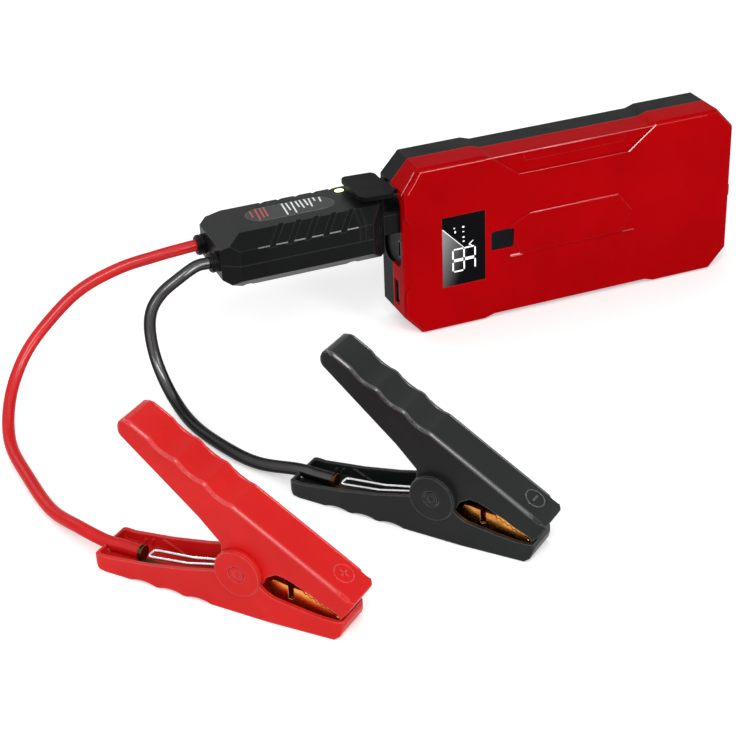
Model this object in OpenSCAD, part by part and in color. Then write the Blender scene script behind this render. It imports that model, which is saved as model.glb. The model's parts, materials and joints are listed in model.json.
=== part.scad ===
// Jump starter pack: a battery unit standing on its long edge, with its plug-in lead set.
// Millimetres, +Z up. The pack's red face looks to -Y and its port end to -X.
// The origin lies on the floor, under the middle of the pack and the lead box together.

/* [Pack] */
// Length of the pack between its two ends
pack_l = 185; // [165:1:220]
// Height of the pack as it stands on its long edge
pack_h = 90; // [86:1:105]
// Thickness of the front half, from the face to the seam
front_t = 15.5; // [14.5:0.1:20]
// Thickness of the rear half, from the seam to the back
rear_t = 14.1; // [13.8:0.1:20]
// Wall of both halves
wall = 2; // [1.6:0.1:2.4]
// Length of each corner cut along the pack
corner_x = 9.5; // [6:0.5:12]
// Height of each corner cut
corner_z = 10.5; // [6:0.5:12]
// Depth by which the two long edges are drawn in
waist_d = 1.6; // [0.8:0.1:2.4]
// Length of each full-height shoulder
shoulder_l = 43.3; // [36:0.1:50]
// Length of the ramp from a shoulder to the waist
ramp_l = 5.1; // [3:0.1:9]
// Inset of the bevel round the front face
face_bevel = 1; // [0.5:0.1:1.6]
// Inset of the bevel round the back
back_bevel = 1.5; // [0.5:0.1:2.5]

/* [Face] */
// Width of the display window
window_w = 23.4; // [18:0.1:26]
// Height of the display window
window_h = 38.1; // [30:0.1:42]
// Distance of the window from the port end
window_from_end = 20.5; // [18:0.1:24]
// Height of the middle of the window
window_z = 42.6; // [40:0.1:46]
// Width of the power button
button_w = 12; // [9:0.1:14]
// Height of the power button
button_h = 10; // [8:0.1:12]
// Gap between the window and the button
button_gap = 3.6; // [3:0.1:5]
// Height of the middle of the button
button_z = 43.5; // [40:0.1:46]
// Travel of the button
button_travel = 0.8; // [0.5:0.1:1]
// Depth of the shallow panel at the top of the face
recess_d = 1; // [0.4:0.1:1.2]
// Height of the raised plate in the middle of the face
plate_d = 0.6; // [0.3:0.1:1]

/* [Ports] */
// Height of the middle of the jump port
port_z = 62; // [58:0.5:64]
// Width of the black port panel
panel_w = 21.2; // [20.6:0.1:22]
// Depth of the panel below the end of the pack
panel_d = 1.5; // [0.8:0.1:1.8]
// Width of the plug's nose
nose_w = 18; // [17:0.1:18.6]
// Height of the plug's nose
nose_h = 10.2; // [9.6:0.1:11]
// Length of the plug's nose
nose_l = 16; // [12:0.5:20]
// Gap between the nose and its socket, on each side
nose_gap = 0.2; // [0.15:0.01:0.25]
// Diameter of each contact pin
contact_d = 5; // [4:0.1:5.2]
// Distance between the two contact pins
contact_pitch = 9; // [8.6:0.1:9.4]

/* [Lead box] */
// Length of the box
box_l = 75.5; // [66:0.5:90]
// Width of the box
box_w = 43; // [41:0.5:48]
// Height of the box
box_h = 28; // [24:0.5:32]
// Height of the upright sides of the box
side_h = 15.6; // [12:0.1:18]
// Width of the flat top of the box
top_w = 28; // [22:0.5:30]
// Wall of the box
box_wall = 2; // [1.6:0.1:2.4]
// Number of slanted grooves on each shoulder of the box
groove_n = 5; // [3:1:6]
// Width of each groove
groove_w = 2.4; // [1.6:0.1:3]
// Distance from groove to groove
groove_pitch = 9; // [7:0.1:10]
// Width of the plug behind the pack
plug_w = 20; // [19.2:0.1:20.4]
// Height of the plug behind the pack
plug_h = 12; // [11.8:0.1:14]

/* [Clamps] */
// Width of a clamp across its shells
clamp_w = 22; // [21:0.1:26]
// Width of a clamp at its tip
tip_w = 18.6; // [18:0.1:20]
// Wall of the clamp shells
clamp_wall = 1.8; // [1.6:0.1:2]
// Height of the clamp's pivot
pivot_z = 19.7; // [19:0.1:20.5]
// Diameter of the pivot pin
pin_d = 6.4; // [5:0.1:7]
// Radius of the round ear at the pivot
ear_r = 10.5; // [9:0.1:11]
// Depth of the finger grips
grip_d = 1.4; // [1:0.1:2]
// Pitch of the teeth of the jaws
tooth_pitch = 2.4; // [1.8:0.1:3]
// Height of the teeth of the jaws
tooth_h = 1.2; // [0.6:0.1:1.6]
// Diameter of the spring wire
wire_d = 1.4; // [1.2:0.1:1.7]
// Diameter of the cable
cable_d = 5.8; // [5:0.1:6]

/* [Hidden] */
$fn = 48;
eps = 0.01;
// Running clearance of a pin in its bore, and the gap left between pieces that do not touch
fit = 0.03;
gap = 0.2;

// Where the pack stands
pack_x = 47;
pack_t = front_t + rear_t;
face_y = -pack_t / 2;
back_y = pack_t / 2;
seam_y = face_y + front_t;
end_x = pack_x - pack_l / 2;
tail_x = pack_x + pack_l / 2;
mid_z = pack_h / 2;
// The pack's inside
in_front = face_y + wall;
in_back = back_y - wall;
bevel_t = 2;
// Rise of the step inside the shallow panel
recess_rise = 0.3;
// Slanting facet at the port end of the face: its reach along the pack, its depth and its ends
facet_l = 4.5;
facet_d = 1.6;
facet_z0 = 24;
facet_z1 = 66;
facet_ramp = 4;

// Display window, its module and the board behind them
window_x = end_x + window_from_end + window_w / 2;
glass_t = 1;
glass_in = 0.2;
window_lip = 1.2;
button_x = window_x + window_w / 2 + button_gap + button_w / 2;
button_flange = 0.8;
button_lip = 1;
button_r = 1.2;
board_t = 1.6;
board_y = in_front + 4.8;
board_z0 = 14;
board_x0 = end_x + 6.5;
board_x1 = end_x + 66.5;
switch_w = 6;
switch_cap_d = 3;
switch_cap_t = 0.8;

// Case screws
screw_d = 3;
screw_head_d = 5.6;
screw_head_h = 1.8;
screw_l = 18;
screw_z = 9;
screw_x = pack_l / 2 - 12.5;
boss_d = 6.4;

// Battery and tray
cell_n = 3;
cell_x0 = board_x1 + 2;
cell_l = tail_x - 24.5 - cell_x0;
cell_z0 = 14;
// Flat sealed edge at the end of each cell
cell_edge = 6;
tray_t = 1.8;
tray_lip = 2;

// Port panel on the end of the pack, running from the USB-C port up over the jump port
panel_x = end_x + panel_d;
panel_z0 = 36;
panel_z1 = 76;
panel_r = 6;
panel_flange = 1.2;
panel_flange_t = 1.8;
panel_back = end_x + wall + panel_flange_t;
usb_c_z = 45;
usb_c_w = 9;
usb_c_t = 3.2;
usb_c_y = board_y + board_t + usb_c_t / 2;
usb_a_z = 21;
usb_a_w = 13.2;
usb_a_t = 5.7;
usb_a_y = board_y + board_t + usb_a_t / 2;
usb_a_in = 0.6;
usb_shell = 0.4;
usb_a_l = 14;
usb_c_l = 7.5;

// Jump socket behind the panel
socket_wall = 1.6;
socket_back = 2;
socket_x1 = panel_x + nose_l + socket_back + 0.4;
contact_in = 3.6;
contact_tail = 3;
contact_lip = 2;
sleeve_wall = 0.75;
sleeve_gap = 0.08;

// Torch at the other end of the pack
lens_r = 6.5;
lens_t = 1.4;
torch_ring = 2;
torch_seat = 2.2;

// Flap over the ports, folded open above the plug; it turns about the bead at the strap's root
flap_z = port_z + 16.2;
flap_x = end_x - 1.8;
flap_t = 2.6;
flap_w = 28;
flap_l = 18;
flap_r = 3;
flap_drop = 0.4;
flap_slope = 2;
strap_w = 12;
strap_l = 1.6;
strap_t = 1.6;
bead_d = 2.2;
knuckle_l = 2;

// Lead box and plug
neck_x1 = panel_x - gap;
grip_l = 10;
neck_l = 9.6;
box_x1 = neck_x1 - neck_l - grip_l;
box_x0 = box_x1 - box_l;
box_z = port_z;
// Cut rear corners of the box, along it and across it, and the slopes at its rear
box_corner = 8;
box_corner_w = 5.5;
rear_slope = 10.3;
side_z = side_h / 2;
groove_depth = 0.9;
groove_from_plug = 15;
groove_lean = 35;
groove_l = 18;
// Fine grooves near the front of the box, at these distances from its shoulder
seam_grooves = [3.5, 6.5];
seam_groove_w = 0.7;
seam_groove_d = 0.4;
label_in = 0.5;
label_l = 45;
label_w = 15.6;
label_x = box_x1 - 34;
label_y = 1.2;
led_l = 4.4;
led_w = 3.2;
led_x = box_x1 - 5.2;
led_y = 9.8;
gland_y = 10.5;
gland_r = 5;
gland_l = 4.2;
gland_rib = 0.5;
box_screw_d = 2.6;
box_screw_head = 4.8;
box_screw_y = 13;
box_board_z = box_z - 3.4;
relay_size = [19, 15.5, 11.5];

// Clamps: s runs along a clamp from its rear to its tip, w across it, z up
red_at = [-229.1, -136.6];
red_yaw = -50.5;
black_at = [-136.9, -119.9];
black_yaw = -52;
pivot_s = 67;
half_w = clamp_w / 2;
taper_s = 80;
rear_s = -4.5;
low_tip_s = 112.8;
up_rear_s = 13.2;
up_tip_s = 117.6;
plan_r = 3;
ear_gap = 0.2;
// The upper shell runs between the walls of the lower one
up_half_w = half_w - clamp_wall - ear_gap;
boss_h = 1;
ring_w = 0.5;
ring_d = 0.6;
floor_z = 3.2;
jaw_w = 13;
jaw_t = 1.5;
jaw_s0 = 79;
// The two rows of teeth meet on a line that falls towards the tip
tooth_s0 = 95;
tooth_z0 = 15.9;
tooth_fall = 0.444;
tooth_n = 6;
lug_s = 12;
lug_l = 2;
lug_d = 6;
// The lug's flat strap to the jaw keeps to one side of the floor
lug_t = 1.2;
lug_w = 3.6;
lug_side = -2.8;
cable_z = 6.5;
notch_w = cable_d + 1;
bridge_s = 17.5;
bridge_z = 7.2;
bridge_w = 5;
rivet_d = 3.2;
rivet_head_d = 5.6;
rivet_s = 84;
// Straight top line of the upper shell, its finger grips, and the jaw's rivet under it
ridge_a = [20, 76.6];
ridge_b = [115.2, 21];
ridge_turn = atan2(ridge_b[1] - ridge_a[1], ridge_b[0] - ridge_a[0]);
grip_at = [17.4, 31.9, 46.4];
grip_r = 16;
low_grip_d = 1.1;
rivet_along = 90.3;
rivet_boss_d = 8;
// Top line of the upper jaw's strip, and its thickness
strip_a = [jaw_s0, 31.6];
strip_b = [110.8, 18.6];
strip_t = 1.6;
// Depth of the rivet head's seat below the ridge
rivet_seat = 8;

// Spring of a clamp: two coils round the pin, joined by a bridge across the lower shell
coil_r = 4.6;
coil_in = 1.15;
coil_out = 6.1;
coil_turns = 2.35;
coil_a0 = 35;
coil_steps = 19;

// Cable routes: chosen points from the gland to the clamp, before each runs into its clamp
red_route = [[-152.9, 10.3, 61.6], [-163.4, 10.4, 60.7], [-182, 11, 58], [-201.5, 11.5, 50.9],
             [-218.6, 8.1, 40.1], [-233.6, 1.6, 28.1], [-245.4, -12, 15], [-252, -35.9, 5.9],
             [-250.6, -66.9, 3.7], [-247.2, -94.9, 3.3], [-240.4, -117.8, 6.6]];
black_route = [[-150.4, -10.8, 61.7], [-159.2, -12.6, 58.4], [-168.3, -12.6, 52.5],
               [-174.1, -12.4, 44.3], [-176, -13.1, 33.1], [-175.3, -18.1, 19],
               [-172.7, -32, 6.9], [-169.5, -55, 3.2], [-161.8, -81.4, 3.3],
               [-153.2, -98.8, 3.6]];

// ---------------------------------------------------------------- shared shapes

// Rectangle with round corners, centred
module round_rect(w, h, r) {
    translate([-w / 2 + r, -h / 2 + r])
        offset(r = r)
            square([w - 2 * r, h - 2 * r]);
}

// Outline of the pack seen from the front, its middle at the origin
module pack_outline(inset = 0) {
    l = pack_l / 2;
    h = pack_h / 2;
    s = l - shoulder_l;
    corner = [[l - corner_x, h], [l, h - corner_z]];
    quarter = concat([[s - ramp_l, h - waist_d], [s, h]], corner);
    right = concat(quarter, [for (i = [3:-1:0]) [quarter[i][0], -quarter[i][1]]]);
    left = [for (p = right) [-p[0], -p[1]]];
    offset(delta = -inset)
        polygon(concat(right, left));
}

// The pack's outline as a slab between two depths
module slab(y0, y1, inset = 0) {
    translate([pack_x, y1, mid_z])
        rotate([90, 0, 0])
            linear_extrude(y1 - y0)
                pack_outline(inset);
}

// A flat shape in the plane of the pack's face, between two depths
module on_face(y0, y1) {
    translate([0, y1, 0])
        rotate([90, 0, 0])
            linear_extrude(y1 - y0)
                children();
}

// A flat shape drawn in y and z, between two places along x
module on_end(x0, x1) {
    translate([x0, 0, 0])
        rotate([90, 0, 90])
            linear_extrude(x1 - x0)
                children();
}

// A rod along x
module rod_x(x0, x1, d, y, z) {
    translate([x0, y, z])
        rotate([0, 90, 0])
            cylinder(h = x1 - x0, d = d);
}

// A rod along y
module rod_y(y0, y1, d, x, z) {
    translate([x, y1, z])
        rotate([90, 0, 0])
            cylinder(h = y1 - y0, d = d);
}

// ---------------------------------------------------------------- tubes swept along points

function unit(v) = v / norm(v);
function catmull(a, b, c, d, t) =
    0.5 * (2 * b + (c - a) * t + (2 * a - 5 * b + 4 * c - d) * t * t
        + (3 * b - a - 3 * c + d) * t * t * t);
function at(p, i) = p[max(0, min(len(p) - 1, i))];
function smooth(p, n) = concat(
    [for (i = [0:len(p) - 2]) for (k = [0:n - 1])
        catmull(at(p, i - 1), p[i], p[i + 1], at(p, i + 2), k / n)],
    [p[len(p) - 1]]);
function tangent(p, i) = unit(at(p, i + 1) - at(p, i - 1));
// A side direction carried from ring to ring, so that the tube does not twist
function carried(side, along) = unit(side - along * (side * along));
function sides_of(p, i, side) =
    i == len(p) ? [] : let (s = carried(side, tangent(p, i))) concat([s], sides_of(p, i + 1, s));
function ring(centre, along, side, r, n) =
    let (up = cross(along, side))
    [for (k = [0:n - 1]) centre + r * (cos(360 * k / n) * side + sin(360 * k / n) * up)];

// One closed tube of radius r with n sides through the points p
module tube(p, r, n, side) {
    s = sides_of(p, 0, side);
    m = len(p);
    rings = [for (i = [0:m - 1]) ring(p[i], tangent(p, i), s[i], r, n)];
    points = [for (q = rings) for (v = q) v];
    walls = [for (i = [0:m - 2]) for (k = [0:n - 1])
        let (a = i * n + k, b = i * n + (k + 1) % n)
        each [[a, a + n, b], [b, a + n, b + n]]];
    first = [for (k = [1:n - 2]) [0, k, k + 1]];
    last = [for (k = [1:n - 2]) [(m - 1) * n, (m - 1) * n + k + 1, (m - 1) * n + k]];
    polyhedron(points, concat(walls, first, last));
}

// ---------------------------------------------------------------- pack: shells

// Shallow panel at the top of the face, its lower edge straight and its ends slanting out
module top_recess() {
    l = pack_l / 2 - shoulder_l;
    top = pack_h + 1;
    low = pack_h - 12.8;
    translate([pack_x, 0])
        polygon([[-l + 1, top], [-30, low], [31, low], [l - 0.6, top]]);
}

// Part of that panel which lies less deep, along the top edge of the pack
module recess_step() {
    translate([pack_x, 0])
        polygon([[-26, pack_h - 6.7], [28, pack_h - 6.7], [30.5, pack_h - 2],
                 [30.5, pack_h + 2], [-29, pack_h + 2]]);
}

module middle_plate() {
    translate([pack_x, 0])
        polygon([[-24, 55], [26, 55], [34, 45], [29, 33.5], [-29, 33.5], [-36, 50]]);
}

module small_ledge(x) {
    translate([pack_x + x, 33.5])
        polygon([[0, 0], [7.3, 0], [6.3, -1.1], [-1, -1.1]]);
}

// Slanting facet that runs out of the face towards the port end
module end_facet() {
    intersection() {
        on_face(face_y - 1, face_y + facet_d + 1)
            polygon([[end_x - 1, facet_z0], [end_x, facet_z0], [end_x + facet_l, facet_z0 + facet_ramp],
                     [end_x + facet_l, facet_z1 - facet_ramp], [end_x, facet_z1],
                     [end_x - 1, facet_z1]]);
        translate([end_x + facet_l, face_y, 0])
            rotate([0, 0, -atan2(facet_d, facet_l)])
                translate([-2 * facet_l, -facet_l, 0])
                    cube([2 * facet_l, facet_l, pack_h]);
    }
}

module panel_shape(grow = 0) {
    h = panel_z1 - panel_z0;
    translate([0, (panel_z0 + panel_z1) / 2])
        round_rect(panel_w + 2 * grow, h + 2 * grow, panel_r + grow);
}

module screw_places() {
    for (x = [-screw_x, screw_x])
        for (z = [screw_z, pack_h - screw_z])
            translate([pack_x + x, 0, z])
                children();
}

// Everything that is cut through both halves from the ends
module end_cuts() {
    on_end(end_x - 1, end_x + wall + 1)
        panel_shape(gap / 2);
    on_end(end_x - 1, end_x + wall + 1)
        translate([usb_a_y, usb_a_z])
            square([usb_a_t + 2 * gap, usb_a_w + 2 * gap], center = true);
    rod_x(tail_x - wall - 1, tail_x + 1, 2 * (lens_r - 1), 0, mid_z);
    rod_x(tail_x - lens_t - 0.4, tail_x + 1, 2 * (lens_r + gap / 2), 0, mid_z);
}

// Ring behind the end wall that the torch is seated on
module torch_mount() {
    difference() {
        rod_x(tail_x - wall - torch_seat, tail_x - wall + eps, 2 * (lens_r + torch_ring), 0, mid_z);
        rod_x(tail_x - wall - torch_seat - 1, tail_x, 2 * lens_r, 0, mid_z);
    }
}

module front_shell() {
    color("firebrick")
        difference() {
            union() {
                difference() {
                    union() {
                        slab(face_y + bevel_t, seam_y);
                        translate([pack_x, face_y + bevel_t, mid_z])
                            rotate([90, 0, 0])
                                linear_extrude(bevel_t, slices = 1,
                                               scale = [1 - 2 * face_bevel / pack_l,
                                                        1 - 2 * face_bevel / pack_h])
                                    pack_outline();
                    }
                    slab(in_front, seam_y + 1, wall);
                    on_face(face_y - 1, face_y + recess_d - recess_rise)
                        top_recess();
                    on_face(face_y - 1, face_y + recess_d)
                        difference() {
                            top_recess();
                            recess_step();
                        }
                    end_facet();
                }
                on_face(face_y - plate_d, face_y + eps)
                    middle_plate();
                for (x = [-35.5, 28.9])
                    on_face(face_y - plate_d, face_y + eps)
                        small_ledge(x);
                screw_places()
                    rod_y(in_front - eps, seam_y, boss_d, 0, 0);
                for (z = [board_z0 + 4, pack_h - board_z0 - 4])
                    rod_y(in_front - eps, board_y, 5, board_x1 - 4, z);
                translate([tail_x - 0.1, face_y + 2, mid_z - 5])
                    cube([0.9, 4, 6]);
                intersection() {
                    torch_mount();
                    slab(face_y, seam_y);
                }
            }
            translate([window_x, 0, window_z]) {
                on_face(face_y - 1, face_y + glass_in + glass_t)
                    square([window_w + gap / 2, window_h + gap / 2], center = true);
                on_face(face_y - 1, in_front + 1)
                    square([window_w - 2 * window_lip, window_h - 2 * window_lip], center = true);
            }
            translate([button_x, 0, button_z])
                on_face(face_y - 1, in_front + 1)
                    round_rect(button_w + 2 * gap, button_h + 2 * gap, button_r);
            screw_places()
                rod_y(back_y - screw_l, seam_y + 1, screw_d + 2 * fit, 0, 0);
            end_cuts();
        }
}

module rear_shell() {
    color("dimgray")
        difference() {
            union() {
                difference() {
                    union() {
                        slab(seam_y, back_y - back_bevel);
                        translate([pack_x, back_y - back_bevel, mid_z])
                            rotate([-90, 0, 0])
                                linear_extrude(back_bevel, slices = 1,
                                               scale = [1 - 2 * back_bevel / pack_l,
                                                        1 - 2 * back_bevel / pack_h])
                                    pack_outline();
                    }
                    slab(seam_y - 1, in_back, wall);
                }
                screw_places()
                    rod_y(seam_y, in_back + eps, boss_d, 0, 0);
                intersection() {
                    torch_mount();
                    slab(seam_y, back_y);
                }
            }
            screw_places() {
                rod_y(seam_y - 1, back_y + 1, screw_d + 2 * gap, 0, 0);
                rod_y(back_y - screw_head_h - gap, back_y + 1, screw_head_d + 2 * gap, 0, 0);
            }
            end_cuts();
        }
}

module case_screws() {
    color("silver")
        screw_places()
            difference() {
                union() {
                    rod_y(back_y - screw_l, back_y - gap, screw_d, 0, 0);
                    rod_y(back_y - screw_head_h - gap, back_y - gap, screw_head_d, 0, 0);
                }
                translate([0, back_y, 0])
                    for (a = [0, 90])
                        rotate([0, a, 0])
                            cube([3.2, 2.4, 0.8], center = true);
            }
}

// ---------------------------------------------------------------- pack: face

module display_window() {
    color("black")
        translate([window_x, 0, window_z])
            on_face(face_y + glass_in, face_y + glass_in + glass_t)
                square([window_w, window_h], center = true);
}

module display_module() {
    color("darkslategray")
        translate([window_x, 0, window_z])
            on_face(face_y + glass_in + glass_t, board_y)
                square([window_w - 2 * window_lip - 2 * gap, window_h - 2 * window_lip - 2 * gap],
                       center = true);
}

module power_button() {
    flange_y = in_front + gap;
    color("black")
        translate([button_x, 0, button_z]) {
            on_face(face_y + 0.1, flange_y + eps)
                round_rect(button_w, button_h, button_r);
            on_face(flange_y, flange_y + button_flange)
                round_rect(button_w + 2 * button_lip, button_h + 2 * button_lip, button_r);
        }
}

module button_switch() {
    travel_y = in_front + gap + button_flange + button_travel + gap;
    color("gray")
        translate([button_x, 0, button_z]) {
            on_face(travel_y + switch_cap_t, board_y)
                square(switch_w, center = true);
            rod_y(travel_y, travel_y + switch_cap_t + eps, switch_cap_d, 0, 0);
        }
}

module main_board() {
    color("darkgreen")
        difference() {
            on_face(board_y, board_y + board_t)
                translate([board_x0, board_z0])
                    square([board_x1 - board_x0, pack_h - 2 * board_z0]);
            translate([board_x0 - 1, board_y - 1, port_z - nose_h / 2 - socket_wall - 1])
                cube([socket_x1 + contact_tail - board_x0 + 1.6, board_t + 2, pack_h]);
        }
}

module battery_cells() {
    t = (in_back - tray_t - cell_y0()) / cell_n;
    color("steelblue")
        for (i = [0:cell_n - 1])
            translate([cell_x0, cell_y0() + i * t, cell_z0])
                cell(t - 0.1 * (cell_n - 1 - i) / cell_n);
}

function cell_y0() = board_y + board_t + 2.4;

// One flat pouch cell with its sealed edge
module cell(t) {
    h = pack_h - 2 * cell_z0;
    cube([cell_l - cell_edge, t, h]);
    translate([cell_l - cell_edge - eps, t / 2 - 0.6, 2])
        cube([cell_edge, 1.2, h - 4]);
}

module cell_tray() {
    h = pack_h - 2 * cell_z0;
    color("darkgray")
        difference() {
            translate([cell_x0 - tray_lip, in_back - tray_t - 4, cell_z0 - tray_lip])
                cube([cell_l + 2 * tray_lip, tray_t + 4, h + 2 * tray_lip]);
            translate([cell_x0 - gap, in_back - tray_t - 5, cell_z0 - gap])
                cube([cell_l + 2 * gap, 5, h + 2 * gap]);
        }
}

// ---------------------------------------------------------------- pack: ports and torch

module port_panel() {
    color("black")
        difference() {
            union() {
                on_end(panel_x, end_x + wall + eps)
                    panel_shape();
                on_end(end_x + wall, panel_back)
                    panel_shape(panel_flange);
            }
            on_end(end_x - 1, panel_back + 1)
                translate([0, port_z])
                    nose_shape(nose_gap);
            on_end(end_x - 1, panel_back + 1)
                translate([usb_c_y, usb_c_z])
                    round_rect(usb_c_t + gap, usb_c_w + gap, 1.5);
        }
}

// Section of the plug's nose: two of its corners are cut, so that it goes in one way only
module nose_shape(grow = 0) {
    w = nose_w / 2 + grow;
    h = nose_h / 2 + grow;
    c = 2.6;
    polygon([[-w + c, -h], [w, -h], [w, h], [-w + c, h], [-w, h - c], [-w, -h + c]]);
}

module jump_socket() {
    color("black")
        difference() {
            on_end(panel_back, socket_x1)
                translate([0, port_z])
                    nose_shape(nose_gap + socket_wall);
            on_end(panel_back - 1, socket_x1 - socket_back)
                translate([0, port_z])
                    nose_shape(nose_gap);
            for (y = [-1, 1])
                rod_x(panel_back, socket_x1 + 1, contact_d + 2 * fit, y * contact_pitch / 2, port_z);
        }
}

module jump_contacts() {
    color("gold")
        for (y = [-1, 1]) {
            rod_x(panel_x + contact_in, socket_x1 + contact_tail, contact_d,
                  y * contact_pitch / 2, port_z);
            rod_x(socket_x1, socket_x1 + 1, contact_d + contact_lip, y * contact_pitch / 2, port_z);
        }
}

module usb_socket(x0, l, y, z, t, w, r, tongue_t) {
    color("lightgray")
        difference() {
            on_end(x0, x0 + l)
                translate([y, z])
                    round_rect(t, w, r);
            on_end(x0 - 1, x0 + l - 2)
                translate([y, z])
                    round_rect(t - 2 * usb_shell, w - 2 * usb_shell, max(r - usb_shell, 0.2));
        }
    color("black")
        on_end(x0 + 0.8, x0 + l - 2 + eps)
            translate([y + (t - 2 * usb_shell - tongue_t) / 4, z])
                square([tongue_t, w - 3], center = true);
}

module usb_c_socket() {
    usb_socket(panel_x + 0.1, usb_c_l, usb_c_y, usb_c_z, usb_c_t, usb_c_w, 1.4, 0.7);
}

module usb_a_socket() {
    usb_socket(end_x + usb_a_in, usb_a_l, usb_a_y, usb_a_z, usb_a_t, usb_a_w, 0.4, 1.9);
}

module torch_lens() {
    color("white")
        rod_x(tail_x - lens_t - 0.4, tail_x - 0.4, 2 * lens_r, 0, mid_z);
}

module torch_led() {
    x1 = tail_x - wall - torch_seat;
    color("white") {
        rod_x(x1 - 1.2, x1, 2 * (lens_r + torch_ring), 0, mid_z);
        translate([x1, -2.5, mid_z - 2.5])
            cube([1.2, 5, 5]);
    }
}

// Rubber flap on its strap, which ends in a round bead
module port_flap() {
    color("black")
        translate([flap_x, 0, flap_z])
            rotate([0, flap_slope, 0]) {
                translate([-strap_l - 1, -strap_w / 2, -strap_t / 2])
                    cube([strap_l + 1, strap_w, strap_t]);
                translate([-strap_l - flap_l / 2, 0, -flap_drop])
                    linear_extrude(flap_t)
                        round_rect(flap_l, flap_w, flap_r);
                rod_y(-strap_w / 2, strap_w / 2, bead_d, 0, 0);
            }
}

// Root of the flap on the end of the pack, holding the bead at both of its ends
module flap_root() {
    root_w = strap_w / 2 + gap;
    color("black")
        for (y = [-root_w - knuckle_l, root_w])
            hull() {
                rod_y(y, y + knuckle_l, bead_d, flap_x, flap_z);
                translate([end_x - 0.1, y, flap_z - bead_d / 2])
                    cube([0.1, knuckle_l, bead_d]);
            }
}

// ---------------------------------------------------------------- lead box

// Section of the box across its length, its middle at the origin
module box_section(inset = 0) {
    w = box_w / 2;
    h = box_h / 2;
    t = top_w / 2;
    offset(delta = -inset)
        polygon([[-w, -side_z], [-t, -h], [t, -h], [w, -side_z],
                 [w, side_z], [t, h], [-t, h], [-w, side_z]]);
}

// Outline of the box from above, with its rear corners cut and its front drawn in to the plug
module box_plan(inset = 0) {
    w = box_w / 2;
    p = plug_w / 2;
    offset(delta = -inset)
        polygon([[box_x0 + box_corner, -w], [box_x0, -w + box_corner_w],
                 [box_x0, w - box_corner_w], [box_x0 + box_corner, w], [box_x1, w], [box_x1 + grip_l, p],
                 [box_x1 + grip_l, -p], [box_x1, -w]]);
}

// Outline of the box from the side, with both slopes at its rear
module box_side(inset = 0) {
    h = box_h / 2;
    x1 = box_x1 + grip_l;
    offset(delta = -inset)
        polygon([[box_x0, -side_z], [box_x0 + rear_slope, -h], [x1, -h], [x1, h],
                 [box_x0 + rear_slope, h], [box_x0, side_z]]);
}

// The box as a solid, or its inside when drawn in by the wall
module box_solid(inset = 0) {
    intersection() {
        translate([0, box_w, box_z])
            rotate([90, 0, 0])
                linear_extrude(2 * box_w)
                    box_side(inset);
        translate([0, 0, box_z])
            on_end(box_x0 - 1, box_x1 + grip_l + 1)
                box_section(inset);
        translate([0, 0, box_z - box_h])
            linear_extrude(2 * box_h)
                box_plan(inset);
    }
}

module box_half(z0, z1) {
    intersection() {
        box_solid();
        translate([box_x0 - 5, -box_w, z0])
            cube([box_l + 30, 2 * box_w, z1 - z0]);
    }
}

// Slanted grooves on the two upper shoulders of the box
module box_grooves() {
    slope = atan2(box_h / 2 - side_z, (box_w - top_w) / 2);
    for (side = [-1, 1])
        for (i = [0:groove_n - 1])
            translate([box_x1 - groove_from_plug - i * groove_pitch, side * box_w / 2,
                       box_z + side_z])
                rotate([-side * slope, 0, 0])
                    rotate([0, 0, side * groove_lean])
                        translate([-groove_w / 2, side > 0 ? 2 - groove_l : -2, -groove_depth])
                            cube([groove_w, groove_l, 4]);
}

// Fine groove round the side and the shoulder of the box, on both sides of its flat top
module seam_groove(x) {
    difference() {
        for (side = [-1, 1])
            translate([x - seam_groove_w / 2, side > 0 ? top_w / 2 : -box_w, box_z])
                cube([seam_groove_w, box_w - top_w / 2, box_h]);
        box_solid(seam_groove_d);
    }
}

module box_screw_places() {
    for (x = [box_x0 + 13, box_x1 - 9])
        for (y = [-box_screw_y, box_screw_y])
            translate([x, y, 0])
                children();
}

module label_shape(grow = 0) {
    translate([label_x, label_y])
        round_rect(label_l + 2 * grow, label_w + 2 * grow, label_w / 2 + grow - 0.1);
}

module led_shape(grow = 0) {
    translate([led_x, led_y])
        resize([led_l + 2 * grow, led_w + 2 * grow])
            circle(d = led_l);
}

module box_cover() {
    top = box_z + box_h / 2;
    color("dimgray")
        difference() {
            union() {
                difference() {
                    box_half(box_z, top + 1);
                    box_solid(box_wall);
                }
                intersection() {
                    box_solid();
                    box_screw_places()
                        translate([0, 0, box_z])
                            cylinder(h = box_h / 2, d = box_screw_d + 3.6);
                }
            }
            box_grooves();
            for (d = seam_grooves)
                seam_groove(box_x1 - d);
            translate([0, 0, top - label_in])
                linear_extrude(2)
                    label_shape(gap / 2);
            translate([0, 0, top - box_wall - 1])
                linear_extrude(4)
                    led_shape(gap / 2);
            box_screw_places()
                translate([0, 0, box_z - 1])
                    cylinder(h = 7, d = box_screw_d + 2 * fit);
            plug_pocket();
            grip_ribs();
        }
}

module box_base() {
    low = box_z - box_h / 2;
    color("dimgray")
        difference() {
            union() {
                difference() {
                    box_half(low - 1, box_z);
                    box_solid(box_wall);
                }
                intersection() {
                    box_solid();
                    box_screw_places()
                        translate([0, 0, low])
                            cylinder(h = box_h / 2, d = box_screw_head + 3);
                }
                for (x = [box_x0 + 18, box_x1 - 14])
                    translate([x, 0, low + 0.5])
                        cylinder(h = box_board_z - low - 0.5, d = 5);
            }
            box_screw_places() {
                translate([0, 0, low - 1])
                    cylinder(h = box_h, d = box_screw_d + 2 * gap);
                translate([0, 0, low - 1])
                    cylinder(h = 4, d = box_screw_head + 2 * gap);
            }
            plug_pocket();
            grip_ribs();
        }
}

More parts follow.
